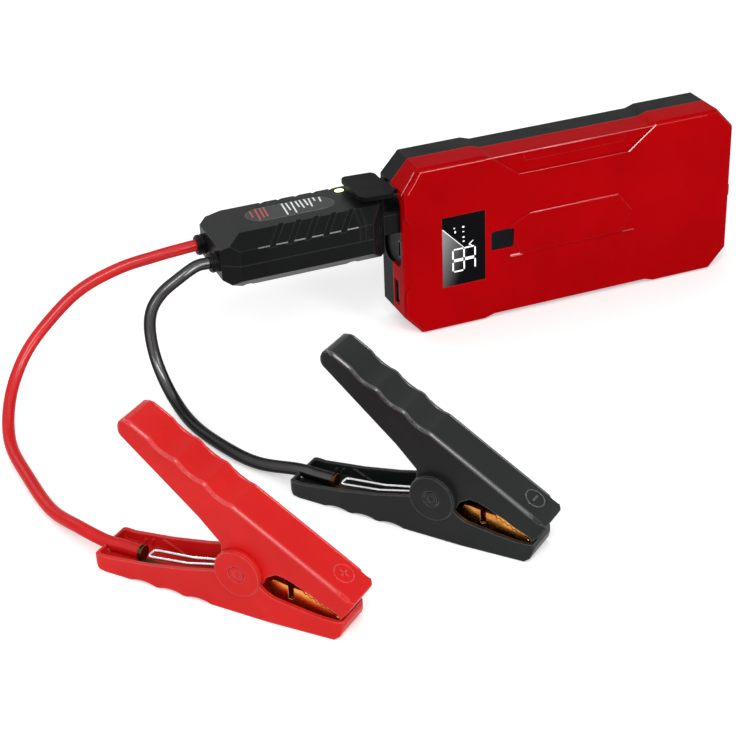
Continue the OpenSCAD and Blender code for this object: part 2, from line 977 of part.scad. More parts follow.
// Slanted finger ribs cut in the two faces that draw the box in to its plug
module grip_ribs() {
    across_l = (box_w - plug_w) / 2;
    for (side = [-1, 1])
        translate([box_x1 + grip_l / 2, side * (box_w + plug_w) / 4, box_z])
            rotate([0, 0, -side * atan2(across_l, grip_l)])
                for (i = [-1:1])
                    translate([3.4 * i, 0, 0])
                        rotate([0, 20, 0])
                            cube([1, 1.2, side_h - 4], center = true);
}

// Space in the front of the box that holds the tail of the plug
module plug_pocket() {
    on_end(box_x1 + 2, box_x1 + grip_l + 1)
        translate([0, box_z])
            square([plug_w - 4 + gap, plug_h - 3 + gap], center = true);
}

module box_screws() {
    low = box_z - box_h / 2;
    color("silver")
        box_screw_places()
            difference() {
                union() {
                    translate([0, 0, low + 1.2])
                        cylinder(h = 1.8, d = box_screw_head);
                    translate([0, 0, low + 1.2])
                        cylinder(h = box_h / 2 + 3.6, d = box_screw_d);
                }
                translate([0, 0, low + 1.2])
                    for (a = [0, 90])
                        rotate([0, 0, a])
                            cube([2.6, 0.7, 1.6], center = true);
            }
}

module label_panel() {
    color("gray")
        translate([0, 0, box_z + box_h / 2 - label_in])
            linear_extrude(label_in - 0.2)
                label_shape();
}

module status_led() {
    top = box_z + box_h / 2;
    color("palegreen")
        translate([0, 0, top - box_wall - 0.6])
            linear_extrude(box_wall + 0.7)
                led_shape();
}

module box_board() {
    color("darkgreen")
        difference() {
            translate([box_x0 + 5, -16, box_board_z])
                cube([box_l - 8, 32, 1.6]);
            box_screw_places()
                cylinder(h = 2 * box_z, d = box_screw_head + 4);
        }
}

module box_relay() {
    color("black")
        translate([box_x0 + 32, -relay_size[1] / 2, box_board_z + 1.6])
            cube(relay_size);
}

module plug_body() {
    neck_x0 = neck_x1 - neck_l;
    color("black")
        difference() {
            union() {
                on_end(neck_x0, neck_x1)
                    translate([0, port_z])
                        plug_shape();
                on_end(neck_x1 - eps, neck_x1 + nose_l)
                    translate([0, port_z])
                        nose_shape();
                on_end(neck_x0 - 4, neck_x0 + eps)
                    translate([0, port_z])
                        square([plug_w - 4, plug_h - 3], center = true);
            }
            for (y = [-1, 1])
                rod_x(neck_x1 + 1, neck_x1 + nose_l + 1, sleeve_d() + 2 * fit,
                      y * contact_pitch / 2, port_z);
        }
}

function sleeve_d() = contact_d + 2 * sleeve_gap + 2 * sleeve_wall;

module plug_shape() {
    w = plug_w / 2;
    h = plug_h / 2;
    c = 1.2;
    polygon([[-w + c, -h], [w - c, -h], [w, -h + c], [w, h - c],
             [w - c, h], [-w + c, h], [-w, h - c], [-w, -h + c]]);
}

module plug_sleeves() {
    color("gold")
        for (y = [-1, 1])
            difference() {
                rod_x(neck_x1 + 1, neck_x1 + nose_l - 0.6, sleeve_d(), y * contact_pitch / 2,
                      port_z);
                rod_x(neck_x1 + 2, neck_x1 + nose_l, contact_d + 2 * sleeve_gap,
                      y * contact_pitch / 2, port_z);
            }
}

module gland(y) {
    difference() {
        union() {
            rod_x(box_x0 - gland_l, box_x0, 2 * gland_r - 2 * gland_rib, y, box_z);
            for (i = [0:1])
                rod_x(box_x0 - 1.4 - i * 2.1, box_x0 - 0.2 - i * 2.1, 2 * gland_r, y, box_z);
        }
        rod_x(box_x0 - gland_l - 1, box_x0 + 1, cable_d + 2 * fit, y, box_z);
    }
}

module red_gland() {
    color("black")
        gland(gland_y);
}

module black_gland() {
    color("black")
        gland(-gland_y);
}

// ---------------------------------------------------------------- clamps

// Place a clamp: its own s, w and z become the part's x, y and z
module clamp_at(place, yaw) {
    translate([place[0], place[1], 0])
        rotate([0, 0, yaw])
            children();
}

// A side profile drawn in s and z, made as thick as asked about the clamp's middle
module across(w0, w1) {
    translate([0, w1, 0])
        rotate([90, 0, 0])
            linear_extrude(w1 - w0)
                children();
}

// Plan of a clamp shell between two places along it, its corners rounded
module clamp_plan(s0, s1, w, tip, inset = 0) {
    translate([0, 0, -5])
        linear_extrude(100)
            offset(delta = -inset)
                offset(r = plan_r)
                    offset(delta = -plan_r)
                        polygon([[s0, -w], [taper_s, -w], [s1, -tip], [s1, tip], [taper_s, w],
                                 [s0, w]]);
}

module low_plan(inset = 0) {
    clamp_plan(rear_s, low_tip_s, half_w, tip_w / 2, inset);
}

module up_plan(inset = 0) {
    clamp_plan(up_rear_s, up_tip_s, up_half_w, up_half_w, inset);
}

// Side profile of the lower shell
module lower_profile() {
    difference() {
        union() {
            polygon([[-3.7, 7.6], [-4.5, 6.6], [-4.2, 3.3], [-2.1, 0.6], [1, 0],
                     [108.8, 0], [111.3, 2], [112.8, 6.6], [112.3, 8.8], [104, 8.8],
                     [97.3, 9.6], [90.8, 10.8], [86.3, 11.5], [82, 12.4], [78.6, 14.5],
                     [75, 18], [58, 18], [55.4, 17.2], [40, 13.2], [22, 9.8], [2, 7.3]]);
            translate([pivot_s, pivot_z])
                circle(r = ear_r);
        }
        for (s = [20, 33.5, 47])
            translate([s, low_grip_d - grip_r])
                circle(r = grip_r);
    }
}

// Side profile of the upper shell above its ear
module upper_profile() {
    difference() {
        polygon([[111.8, 10.4], [115, 14], [117.6, 18.4], ridge_b, ridge_a, [15.6, 75.6],
                 [13.2, 71.2], [49.5, 40.2], [59, 30.5], [58.6, 22],
                 [76, 15], [77.4, 16.6], [79, 20], [83.7, 22.8], [87.5, 22.4], [91.7, 21],
                 [96.2, 19], [100, 17.5], [103.4, 15.5], [107.1, 14], [110.6, 12.6]]);
        translate(ridge_a)
            rotate(ridge_turn)
                for (l = grip_at)
                    translate([l, grip_r - grip_d])
                        circle(r = grip_r);
    }
}

module ear_circle(r) {
    translate([pivot_s, pivot_z])
        circle(r = r);
}

// Slanting cut along one straight edge of an outline, on both sides of a clamp
module edge_cut(a, b, w, c) {
    l = norm(b - a);
    turn = atan2(b[1] - a[1], b[0] - a[0]);
    for (side = [-1, 1])
        translate([a[0], side * w, a[1]])
            rotate([0, -turn, 0])
                rotate([-45 * side, 0, 0])
                    translate([-1, -2 * c, -c / sqrt(2)])
                        cube([l + 2, 4 * c, 3 * c]);
}

// Thin ribs inside the walls of the lower shell, beside the cable and the spring
module wall_ribs() {
    inner_w = half_w - clamp_wall;
    for (side = [-1, 1])
        across(side * (inner_w - 0.25) - 0.45, side * (inner_w - 0.25) + 0.45) {
            polygon([[6.4, floor_z - 1], [7.4, floor_z - 1], [9, 6], [8, 6]]);
            polygon([[9.6, floor_z - 1], [10.6, floor_z - 1], [12.8, 6.8], [11.8, 6.8]]);
            polygon([[17, 8.2], [18.2, 8.2], [32.4, floor_z - 1], [30.8, floor_z - 1]]);
        }
}

module lower_shell(tint) {
    color(tint)
        difference() {
            union() {
                difference() {
                    intersection() {
                        across(-half_w, half_w)
                            lower_profile();
                        low_plan();
                    }
                    intersection() {
                        across(-half_w, half_w)
                            polygon([[rear_s + clamp_wall, floor_z], [110.4, floor_z],
                                     [110.4, 40], [rear_s + clamp_wall, 40]]);
                        low_plan(clamp_wall);
                    }
                }
                wall_ribs();
                for (side = [-1, 1])
                    translate([0, side * half_w, 0])
                        rod_y(-boss_h, boss_h, 2 * ear_r - 0.6, pivot_s, pivot_z);
            }
            translate([-8, 0, cable_z])
                rotate([0, 90, 0])
                    cylinder(h = 8, d = notch_w);
            translate([-8, -notch_w / 2, cable_z])
                cube([8, notch_w, 8]);
            rod_y(-half_w - 2, half_w + 2, pin_d + 2 * fit, pivot_s, pivot_z);
            for (side = [-1, 1])
                translate([0, side * (half_w + boss_h), 0])
                    rod_y(-ring_d, ring_d, pin_d + 2 * ring_w, pivot_s, pivot_z);
            lower_rivet_hole();
        }
}

// Hole and head pocket of a jaw's rivet in the lower shell
module lower_rivet_hole() {
    translate([rivet_s, 0, -1]) {
        cylinder(h = 8, d = rivet_d + 2 * fit);
        cylinder(h = 2, d = rivet_head_d + 0.4 + 2 * gap);
    }
}

// Boss inside the upper shell, cut to lie flat on the jaw's strip
module rivet_boss() {
    difference() {
        upper_rivet_axis()
            translate([0, 0, -rivet_boss_d])
                cylinder(h = rivet_boss_d - 1, d = rivet_boss_d);
        across(-rivet_boss_d, rivet_boss_d)
            strip_line(2 * rivet_boss_d);
    }
}

// The strip of the upper jaw from the side, or all that lies below its top line
module strip_line(thick) {
    polygon([strip_a, strip_b, strip_b - [0, thick], strip_a - [0, thick]]);
}

module upper_shell(tint) {
    color(tint)
        difference() {
            union() {
                difference() {
                    intersection() {
                        across(-half_w, half_w) {
                            upper_profile();
                            ear_circle(ear_r - 1.6);
                        }
                        up_plan();
                    }
                    intersection() {
                        across(-half_w, half_w) {
                            offset(delta = -clamp_wall)
                                upper_profile();
                            translate([-1.5, -5])
                                offset(delta = -clamp_wall)
                                    upper_profile();
                            ear_circle(ear_r + 1);
                        }
                        up_plan(clamp_wall);
                    }
                }
                rivet_boss();
            }
            rod_y(-half_w - 1, half_w + 1, pin_d + 0.14, pivot_s, pivot_z);
            upper_rivet_axis()
                translate([0, 0, -rivet_boss_d])
                    cylinder(h = rivet_boss_d - 1, d = rivet_d + 2 * fit);
            edge_cut(ridge_a, ridge_b, up_half_w, 1.2);
        }
}

// A row of teeth along the line on which the jaws meet
function teeth(lift, h) = [for (i = [0:2 * tooth_n])
    let (l = i * tooth_pitch / 2)
    [tooth_s0 + l, tooth_z0 + lift - l * tooth_fall + (i % 2 == 0 ? -h / 2 : h / 2)]];

module jaw_plates(w) {
    for (side = [-1, 1])
        across(side * (w / 2 - jaw_t / 2) - jaw_t / 2, side * (w / 2 - jaw_t / 2) + jaw_t / 2)
            children();
}

// Lower jaw: a floor with two side plates, each with a round lobe, a slit and a row of teeth
module lower_jaw() {
    end_s = tooth_s0 + tooth_n * tooth_pitch;
    color("chocolate")
        difference() {
            union() {
                translate([jaw_s0 + 1, -jaw_w / 2, floor_z])
                    cube([end_s - jaw_s0 - 1, jaw_w, jaw_t]);
                jaw_plates(jaw_w)
                    polygon(concat([[jaw_s0 + 1, floor_z], [78.6, 12.5], [78.4, 15.6],
                                    [79.6, 17.3], [81.6, 17.9], [87.3, 17.2], [87.3, 11],
                                    [89.7, 11], [89.7, 17], [tooth_s0 - 1, 16.6]],
                                   teeth(-0.15, tooth_h),
                                   [[end_s + 0.4, 9], [end_s + 0.4, floor_z]]));
            }
            translate([rivet_s, 0, 0])
                cylinder(h = 10, d = rivet_d + 2 * fit);
        }
}

// Upper jaw: a sloping strip under the ridge with two side plates and their teeth
module upper_jaw() {
    end_s = strip_b[0];
    color("chocolate")
        difference() {
            union() {
                jaw_plates(jaw_w)
                    polygon(concat([[tooth_s0 - 2, 25], [tooth_s0 - 0.9, 18]],
                                   teeth(0.15, tooth_h),
                                   [[end_s, 13.5], [end_s, 17.8]]));
                across(-jaw_w / 2, jaw_w / 2)
                    strip_line(strip_t);
                jaw_plates(jaw_w)
                    polygon([[jaw_s0, 30.8], [jaw_s0, 23], [jaw_s0 + 2, 21.6],
                             [jaw_s0 + 6.5, 22.4], [jaw_s0 + 8, 27]]);
            }
            upper_rivet_axis() {
                translate([0, 0, -12])
                    cylinder(h = 24, d = rivet_d + 2 * fit);
                translate([0, 0, -12])
                    cylinder(h = 12 - rivet_seat, d = rivet_head_d + 2 * gap);
            }
        }
}

// Axis of the rivet that holds the upper jaw, square to the ridge
module upper_rivet_axis() {
    translate([ridge_a[0] + rivet_along * cos(ridge_turn), 0,
               ridge_a[1] + rivet_along * sin(ridge_turn)])
        rotate([0, -ridge_turn, 0])
            children();
}

module lower_rivet() {
    color("goldenrod")
        translate([rivet_s, 0, 0]) {
            translate([0, 0, 0.3])
                cylinder(h = floor_z + jaw_t - 0.3, d = rivet_d);
            translate([0, 0, 0.3])
                cylinder(h = 0.7, d = rivet_head_d + 0.4);
            translate([0, 0, floor_z + jaw_t])
                cylinder(h = 0.9, d = rivet_head_d);
        }
}

module upper_rivet() {
    color("goldenrod")
        upper_rivet_axis() {
            translate([0, 0, -rivet_seat - 0.6])
                cylinder(h = rivet_seat - 1, d = rivet_d);
            translate([0, 0, -rivet_seat - 1.2])
                cylinder(h = 1.2, d = rivet_head_d);
        }
}

// Pin with a shallow dimple in each end, flush with the ears
module pivot_pin(tint) {
    end_w = half_w + boss_h;
    color(tint)
        difference() {
            rod_y(-end_w, end_w, pin_d, pivot_s, pivot_z);
            for (side = [-1, 1])
                translate([0, side * end_w, 0])
                    rod_y(-0.3, 0.3, pin_d - 3.4, pivot_s, pivot_z);
        }
}

// Half of the spring's line: upper arm, coil and lower arm, on one side of the clamp
function coil_points(side) = [for (i = [0:coil_steps])
    let (a = coil_a0 - 360 * coil_turns * i / coil_steps,
         w = coil_out + (coil_in - coil_out) * i / coil_steps)
    [pivot_s + coil_r * cos(a), side * w, pivot_z + coil_r * sin(a)]];
function half_spring(side) = concat(
    [[pivot_s - 25, side * coil_out, pivot_z + 38.6],
     [pivot_s - 12, side * coil_out, pivot_z + 20.8]],
    coil_points(side),
    [[pivot_s - 10, side * 1.6, pivot_z - 5.4], [pivot_s - 30, side * 2.2, pivot_z - 10.3],
     [bridge_s + 2, side * bridge_w / 2, bridge_z + 0.1],
     [bridge_s, side * (bridge_w / 2 - 0.8), bridge_z]]);
function reversed(p) = [for (i = [len(p) - 1:-1:0]) p[i]];
spring_line = concat(half_spring(-1), reversed(half_spring(1)));
spring_near = [for (i = [0:len(spring_line) - 1]) for (j = [i + 5:1:len(spring_line) - 1])
    norm(spring_line[i] - spring_line[j])];
echo(least_gap_of_the_spring_to_itself = min(spring_near) - wire_d);

module spring() {
    color("silver")
        tube(spring_line, wire_d / 2, 6, [0, 1, 0]);
}

// Crimped barrel on the cable's end and the strap that runs on to the lower jaw
module cable_lug() {
    color("chocolate")
        difference() {
            union() {
                translate([lug_s, 0, cable_z])
                    rotate([0, 90, 0])
                        cylinder(h = lug_l, d = lug_d);
                translate([lug_s + 0.2, lug_side - lug_w / 2, floor_z + 0.1])
                    cube([jaw_s0 - lug_s - 0.2, lug_w, lug_t]);
            }
            translate([lug_s + lug_l / 2, 0, cable_z + lug_d / 2])
                cube([1, 3, 1.6], center = true);
        }
}

function clamp_point(place, yaw, s) =
    [place[0] + s * cos(yaw), place[1] + s * sin(yaw), cable_z];

module cable(route, y, place, yaw) {
    start = [[box_x0 - 0.1, y, box_z], [box_x0 - gland_l - 1, y, box_z]];
    finish = [for (s = [-6, 3, lug_s]) clamp_point(place, yaw, s)];
    line = concat(start, route, finish);
    tube(smooth(line, 3), cable_d / 2, 10, [0, 0, 1]);
}

module red_cable() {
    color("red")
        cable(red_route, gland_y, red_at, red_yaw);
}

module black_cable() {
    color("black")
        cable(black_route, -gland_y, black_at, black_yaw);
}

module red_upper_shell() {
    clamp_at(red_at, red_yaw)
        upper_shell("red");
}

module red_lower_shell() {
    clamp_at(red_at, red_yaw)
        lower_shell("red");
}

module red_upper_jaw() {
    clamp_at(red_at, red_yaw)
        upper_jaw();
}

module red_lower_jaw() {
    clamp_at(red_at, red_yaw)
        lower_jaw();
}

module red_pivot_pin() {
    clamp_at(red_at, red_yaw)
        pivot_pin("red");
}

module red_spring() {
    clamp_at(red_at, red_yaw)
        spring();
}

module red_cable_lug() {
    clamp_at(red_at, red_yaw)
        cable_lug();
}

module red_upper_rivet() {
    clamp_at(red_at, red_yaw)
        upper_rivet();
}

module red_lower_rivet() {
    clamp_at(red_at, red_yaw)
        lower_rivet();
}

module black_upper_shell() {
    clamp_at(black_at, black_yaw)
        upper_shell("dimgray");
}

module black_lower_shell() {
    clamp_at(black_at, black_yaw)
        lower_shell("dimgray");
}

module black_upper_jaw() {
    clamp_at(black_at, black_yaw)
        upper_jaw();
}

module black_lower_jaw() {
    clamp_at(black_at, black_yaw)
        lower_jaw();
}

module black_pivot_pin() {
    clamp_at(black_at, black_yaw)
        pivot_pin("dimgray");
}

module black_spring() {
    clamp_at(black_at, black_yaw)
        spring();
}

module black_cable_lug() {
    clamp_at(black_at, black_yaw)
        cable_lug();
}

module black_upper_rivet() {
    clamp_at(black_at, black_yaw)
        upper_rivet();
}

module black_lower_rivet() {
    clamp_at(black_at, black_yaw)
        lower_rivet();
}

// ---------------------------------------------------------------- drawing

front_shell();
rear_shell();
display_window();
display_module();
power_button();
button_switch();
port_panel();
jump_socket();
jump_contacts();
usb_c_socket();
usb_a_socket();
port_flap();
flap_root();
battery_cells();
cell_tray();
main_board();
case_screws();
torch_lens();
torch_led();
box_cover();
box_base();
label_panel();
status_led();
box_board();
box_relay();
plug_body();
plug_sleeves();
red_gland();
black_gland();
box_screws();
red_cable();
black_cable();
red_upper_shell();
red_lower_shell();
red_upper_jaw();
red_lower_jaw();
red_pivot_pin();
red_spring();
red_cable_lug();
red_upper_rivet();
red_lower_rivet();
black_upper_shell();
black_lower_shell();
black_upper_jaw();
black_lower_jaw();
black_pivot_pin();
black_spring();
black_cable_lug();
black_upper_rivet();
black_lower_rivet();
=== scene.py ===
"""Looks of a jump starter pack with its plug-in lead set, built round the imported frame.

Lengths are in metres in the part's own frame: +Z up, the pack's red face to -Y, its port end to -X.
"""

from __future__ import annotations

import json
import logging
import math
from dataclasses import dataclass
from enum import Enum
from functools import cached_property
from typing import Callable, Iterable, Mapping, Sequence

import bmesh
import bpy
from mathutils import Matrix, Vector

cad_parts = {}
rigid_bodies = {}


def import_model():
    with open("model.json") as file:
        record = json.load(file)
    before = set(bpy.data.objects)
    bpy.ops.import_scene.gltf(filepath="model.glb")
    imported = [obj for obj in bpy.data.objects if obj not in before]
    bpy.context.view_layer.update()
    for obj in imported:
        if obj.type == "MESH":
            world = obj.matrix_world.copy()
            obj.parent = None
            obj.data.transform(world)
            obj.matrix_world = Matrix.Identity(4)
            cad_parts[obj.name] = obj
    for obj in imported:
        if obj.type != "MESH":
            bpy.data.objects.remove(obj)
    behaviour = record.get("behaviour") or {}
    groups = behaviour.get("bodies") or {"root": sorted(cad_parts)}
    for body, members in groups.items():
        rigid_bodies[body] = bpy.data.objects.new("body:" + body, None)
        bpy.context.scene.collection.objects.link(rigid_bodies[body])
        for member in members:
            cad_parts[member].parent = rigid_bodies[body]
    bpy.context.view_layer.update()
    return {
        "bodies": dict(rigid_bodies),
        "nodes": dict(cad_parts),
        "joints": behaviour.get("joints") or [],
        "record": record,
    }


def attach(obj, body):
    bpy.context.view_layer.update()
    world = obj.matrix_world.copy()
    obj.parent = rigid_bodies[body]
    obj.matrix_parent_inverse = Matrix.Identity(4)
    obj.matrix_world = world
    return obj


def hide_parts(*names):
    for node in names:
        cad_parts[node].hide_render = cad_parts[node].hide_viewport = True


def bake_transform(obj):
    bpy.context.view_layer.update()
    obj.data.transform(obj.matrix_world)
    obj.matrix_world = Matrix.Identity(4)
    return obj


LOG = logging.getLogger("jump_starter")
MM = 0.001
WHITE = (1.0, 1.0, 1.0, 1.0)
Colour = tuple[float, float, float, float]
Bar = tuple[float, float, float, float]
Triple = tuple[float, float, float]
Pair = tuple[float, float]
Node, Socket, Tree = bpy.types.Node, bpy.types.NodeSocket, bpy.types.NodeTree
Piece, Work, Corner = bpy.types.Object, bmesh.types.BMesh, bmesh.types.BMVert


def tint(code: str) -> Colour:
    """A colour written as six hex digits, as the linear values that shaders take.

    Args:
        code: Six hex digits, such as "c0080f".

    Returns:
        Linear red, green and blue, and an alpha of 1.
    """
    parts = [int(code[i : i + 2], 16) / 255 for i in (0, 2, 4)]
    red, green, blue = (v / 12.92 if v <= 0.04045 else ((v + 0.055) / 1.055) ** 2.4 for v in parts)
    return (red, green, blue, 1.0)


def put(name: str, data: bpy.types.ID) -> Piece:
    """Makes an object and links it into the scene.

    Args:
        name: Its name.
        data: Its mesh, curve, camera or lamp.

    Returns:
        The new object.
    """
    made = bpy.data.objects.new(name, data)
    bpy.context.scene.collection.objects.link(made)
    return made


# --------------------------------------------------------------------------- shader node groups


class SharedEffect(Enum):
    """Effects that more than one finish uses, each kept as one node group."""

    EDGE_WEAR_AND_HIGHLIGHT = "edge_wear_and_highlight"
    MOULDED_GRAIN = "moulded_grain"
    TONE_DRIFT = "tone_drift"
    HANDLING_MARKS = "handling_marks"
    DRAWN_METAL = "drawn_metal"
    SETTLED_DUST = "settled_dust"


class Graph:
    """A node tree with short ways to add nodes and join them."""

    def __init__(self, tree: Tree, effects: EffectLibrary | None = None) -> None:
        """Keeps the tree that nodes are added to, and the effects that can be placed in it."""
        self.tree, self.effects = tree, effects

    @classmethod
    def of(cls, owner: bpy.types.ID, effects: EffectLibrary | None = None) -> Graph:
        """The emptied node tree of a material or a world.

        Args:
            owner: The material or world.
            effects: The effects that can be placed in it.

        Returns:
            Its node tree.
        """
        owner.use_nodes = True
        owner.node_tree.nodes.clear()
        return cls(owner.node_tree, effects)

    def node(self, kind: str, options: dict[str, object] | None = None, **values: object) -> Node:
        """Adds a node and sets its options and inputs.

        Args:
            kind: The node's type name, after "ShaderNode".
            options: Attributes of the node to set.
            **values: Inputs by name, with underscores for spaces. A socket as value is linked.

        Returns:
            The new node.
        """
        made = self.tree.nodes.new("ShaderNode" + kind)
        for name, value in (options or {}).items():
            setattr(made, name, value)
        self.fill(made, {name.replace("_", " "): value for name, value in values.items()})
        return made

    def fill(self, node: Node, values: Mapping[str | int, object]) -> None:
        """Links sockets to a node's inputs, or sets the inputs where plain values are given.

        Args:
            node: The node.
            values: A socket or a plain value for each input's name or number.
        """
        for name, value in values.items():
            if isinstance(value, Socket):
                self.tree.links.new(value, node.inputs[name])
            else:
                node.inputs[name].default_value = value

    def effect(self, effect: SharedEffect, **values: object) -> Mapping[str, Socket]:
        """Places a shared effect's group with its own values, and gives its outputs by name."""
        return self.node("Group", {"node_tree": self.effects.group(effect)}, **values).outputs

    def math(self, operation: str, first: object, second: object, clamp: bool = False) -> Socket:
        """Adds a Math node.

        Args:
            operation: The node's operation.
            first: Its first value or socket.
            second: Its second value or socket.
            clamp: Whether the result is kept between 0 and 1.

        Returns:
            The result.
        """
        made = self.node("Math", {"operation": operation, "use_clamp": clamp})
        self.fill(made, {0: first, 1: second})
        return made.outputs[0]

    def times(self, first: object, second: object, clamp: bool = False) -> Socket:
        """Multiplies two values or sockets."""
        return self.math("MULTIPLY", first, second, clamp)

    def remap(
        self, value: object, low: float, high: float, to_low: float = 0.0, to_high: float = 1.0
    ) -> Socket:
        """Adds a clamped Map Range node.

        Args:
            value: The value or socket.
            low: Where its range starts.
            high: Where its range ends.
            to_low: What the start becomes.
            to_high: What the end becomes.

        Returns:
            The result.
        """
        made = self.node("MapRange")
        self.fill(made, dict(enumerate((value, low, high, to_low, to_high))))
        return made.outputs[0]

    def blend(self, factor: object, first: object, second: object) -> Socket:
        """Mixes two colours.

        Args:
            factor: The second colour's share.
            first: The first colour.
            second: The second colour.

        Returns:
            The mixed colour.
        """
        made = self.node("Mix", {"data_type": "RGBA"})
        self.fill(made, {0: factor, 6: first, 7: second})
        return made.outputs[2]

    @cached_property
    def place(self) -> Socket:
        """The object's own coordinates."""
        return self.node("TexCoord").outputs["Object"]

    def noise(self, scale: object, detail: float, place: Socket | None = None, **more: object) -> Socket:
        """Adds noise over the object.

        Args:
            scale: Its scale, or a socket for it.
            detail: Its detail.
            place: Its coordinates, where they aren't the object's own.
            **more: Its other inputs.

        Returns:
            The noise's value.
        """
        place = self.place if place is None else place
        return self.node("TexNoise", Vector=place, Scale=scale, Detail=detail, **more).outputs[0]


class EffectLibrary:
    """Builds each shared effect's node group once."""

    INPUTS: dict[SharedEffect, dict[str, object]] = {
        SharedEffect.EDGE_WEAR_AND_HIGHLIGHT: {"Radius": 0.0006, "Strength": 1.0},
        SharedEffect.MOULDED_GRAIN: {"Scale": 2600.0, "Evenness": 0.5},
        SharedEffect.TONE_DRIFT: {"Tone": (0.5, 0.5, 0.5, 1), "Shade": (0.4, 0.4, 0.4, 1), "Scale": 26.0},
        SharedEffect.HANDLING_MARKS: {"Scale": 60.0, "Amount": 0.5},
        SharedEffect.DRAWN_METAL: {"Along": (1.0, 1.0, 12.0), "Scale": 700.0},
        SharedEffect.SETTLED_DUST: {"Amount": 0.1},
    }
    KINDS = {"Along": "Vector", "Normal": "Vector", "Tone": "Color", "Shade": "Color", "Color": "Color"}

    def __init__(self) -> None:
        """Starts with no group built."""
        self._built: dict[SharedEffect, Tree] = {}

    def group(self, effect: SharedEffect) -> Tree:
        """The effect's node group, built when it is first asked for.

        Args:
            effect: Which effect is wanted.

        Returns:
            The group's node tree.
        """
        if effect not in self._built:
            tree = bpy.data.node_groups.new(effect.value, "ShaderNodeTree")
            for name, value in self.INPUTS[effect].items():
                self._socket(tree, name, "INPUT").default_value = value
            graph = Graph(tree)
            made = getattr(self, "_" + effect.value)(graph, tree.nodes.new("NodeGroupInput").outputs)
            for name in made:
                self._socket(tree, name, "OUTPUT")
            graph.fill(tree.nodes.new("NodeGroupOutput"), made)
            self._built[effect] = tree
        return self._built[effect]

    def _socket(self, tree: Tree, name: str, side: str) -> bpy.types.NodeTreeInterfaceSocket:
        """Gives a group a named socket on one side."""
        kind = "NodeSocket" + self.KINDS.get(name, "Float")
        return tree.interface.new_socket(name, in_out=side, socket_type=kind)

    def _edge_wear_and_highlight(self, graph: Graph, given: Mapping[str, Socket]) -> dict[str, Socket]:
        """Bright along edges, broken up by noise: partly scuffing and partly a painted highlight.

        Args:
            graph: The group's nodes.
            given: Its inputs.

        Returns:
            Its outputs.
        """
        rounded = graph.node("Bevel", {"samples": 4}, Radius=given["Radius"]).outputs[0]
        dot = graph.node("VectorMath", {"operation": "DOT_PRODUCT"})
        graph.fill(dot, {0: rounded, 1: graph.node("NewGeometry").outputs["Normal"]})
        turned = graph.remap(graph.math("SUBTRACT", 1.0, dot.outputs["Value"]), 0.01, 0.16)
        broken = graph.remap(graph.noise(420.0, 3.0), 0.32, 0.62, 0.35)
        worn_and_highlit = graph.times(graph.times(turned, broken), given["Strength"], clamp=True)
        return {"Mask": worn_and_highlit, "Edge": turned, "Normal": rounded}

    def _moulded_grain(self, graph: Graph, given: Mapping[str, Socket]) -> dict[str, Socket]:
        """Spark-eroded grain of moulded plastic: a height and a speck value.

        Args:
            graph: The group's nodes.
            given: Its inputs.

        Returns:
            Its outputs.
        """
        cells = graph.node("TexVoronoi", Vector=graph.place, Scale=given["Scale"]).outputs[0]
        fine = graph.noise(given["Scale"], 2.0)
        speck = graph.node("Mix", {"data_type": "FLOAT"})
        graph.fill(speck, {0: given["Evenness"], 2: fine, 3: graph.noise(55.0, 3.0, Roughness=0.6)})
        return {"Height": graph.math("ADD", graph.times(cells, 0.6), fine), "Speck": speck.outputs[0]}

    def _tone_drift(self, graph: Graph, given: Mapping[str, Socket]) -> dict[str, Socket]:
        """Slow drift of a colour between two tones, as pigment has in a moulding."""
        slow = graph.noise(given["Scale"], 4.0, Roughness=0.55, Distortion=0.4)
        return {"Color": graph.blend(graph.remap(slow, 0.35, 0.68), given["Tone"], given["Shade"])}

    def _handling_marks(self, graph: Graph, given: Mapping[str, Socket]) -> dict[str, Socket]:
        """Fine scuffs and wiped patches from handling: a mask and a height.

        Args:
            graph: The group's nodes.
            given: Its inputs.

        Returns:
            Its outputs.
        """
        drawn = graph.node("Mapping", Vector=graph.place, Rotation=(0.5, 0.9, 0.35), Scale=(1.0, 1.0, 16.0))
        line = graph.remap(graph.noise(given["Scale"], 5.0, drawn.outputs[0]), 0.6, 0.66)
        patch = graph.remap(graph.noise(34.0, 2.0), 0.5, 0.7, 0.0, 0.6)
        mask = graph.times(graph.math("MAXIMUM", line, patch), given["Amount"], clamp=True)
        return {"Mask": mask, "Height": graph.math("SUBTRACT", 1.0, line)}

    def _drawn_metal(self, graph: Graph, given: Mapping[str, Socket]) -> dict[str, Socket]:
        """Drawing lines along a metal piece, and a slow tarnish.

        Args:
            graph: The group's nodes.
            given: Its inputs.

        Returns:
            Its outputs.
        """
        drawn = graph.node("Mapping", Vector=graph.place, Scale=given["Along"]).outputs[0]
        tarnish = graph.remap(graph.noise(160.0, 4.0, Roughness=0.65), 0.4, 0.7)
        return {"Height": graph.noise(given["Scale"], 4.0, drawn), "Tarnish": tarnish}

    def _settled_dust(self, graph: Graph, given: Mapping[str, Socket]) -> dict[str, Socket]:
        """Thin dust on what faces up, as a mask.

        Args:
            graph: The group's nodes.
            given: Its inputs.

        Returns:
            Its outputs.
        """
        facing = graph.node("SeparateXYZ", Vector=graph.node("NewGeometry").outputs["Normal"])
        motes = graph.remap(graph.noise(900.0, 5.0, Roughness=0.7), 0.52, 0.72)
        up = graph.remap(facing.outputs["Z"], 0.2, 0.95)
        return {"Mask": graph.times(graph.times(motes, up), given["Amount"])}


# --------------------------------------------------------------------------- finishes


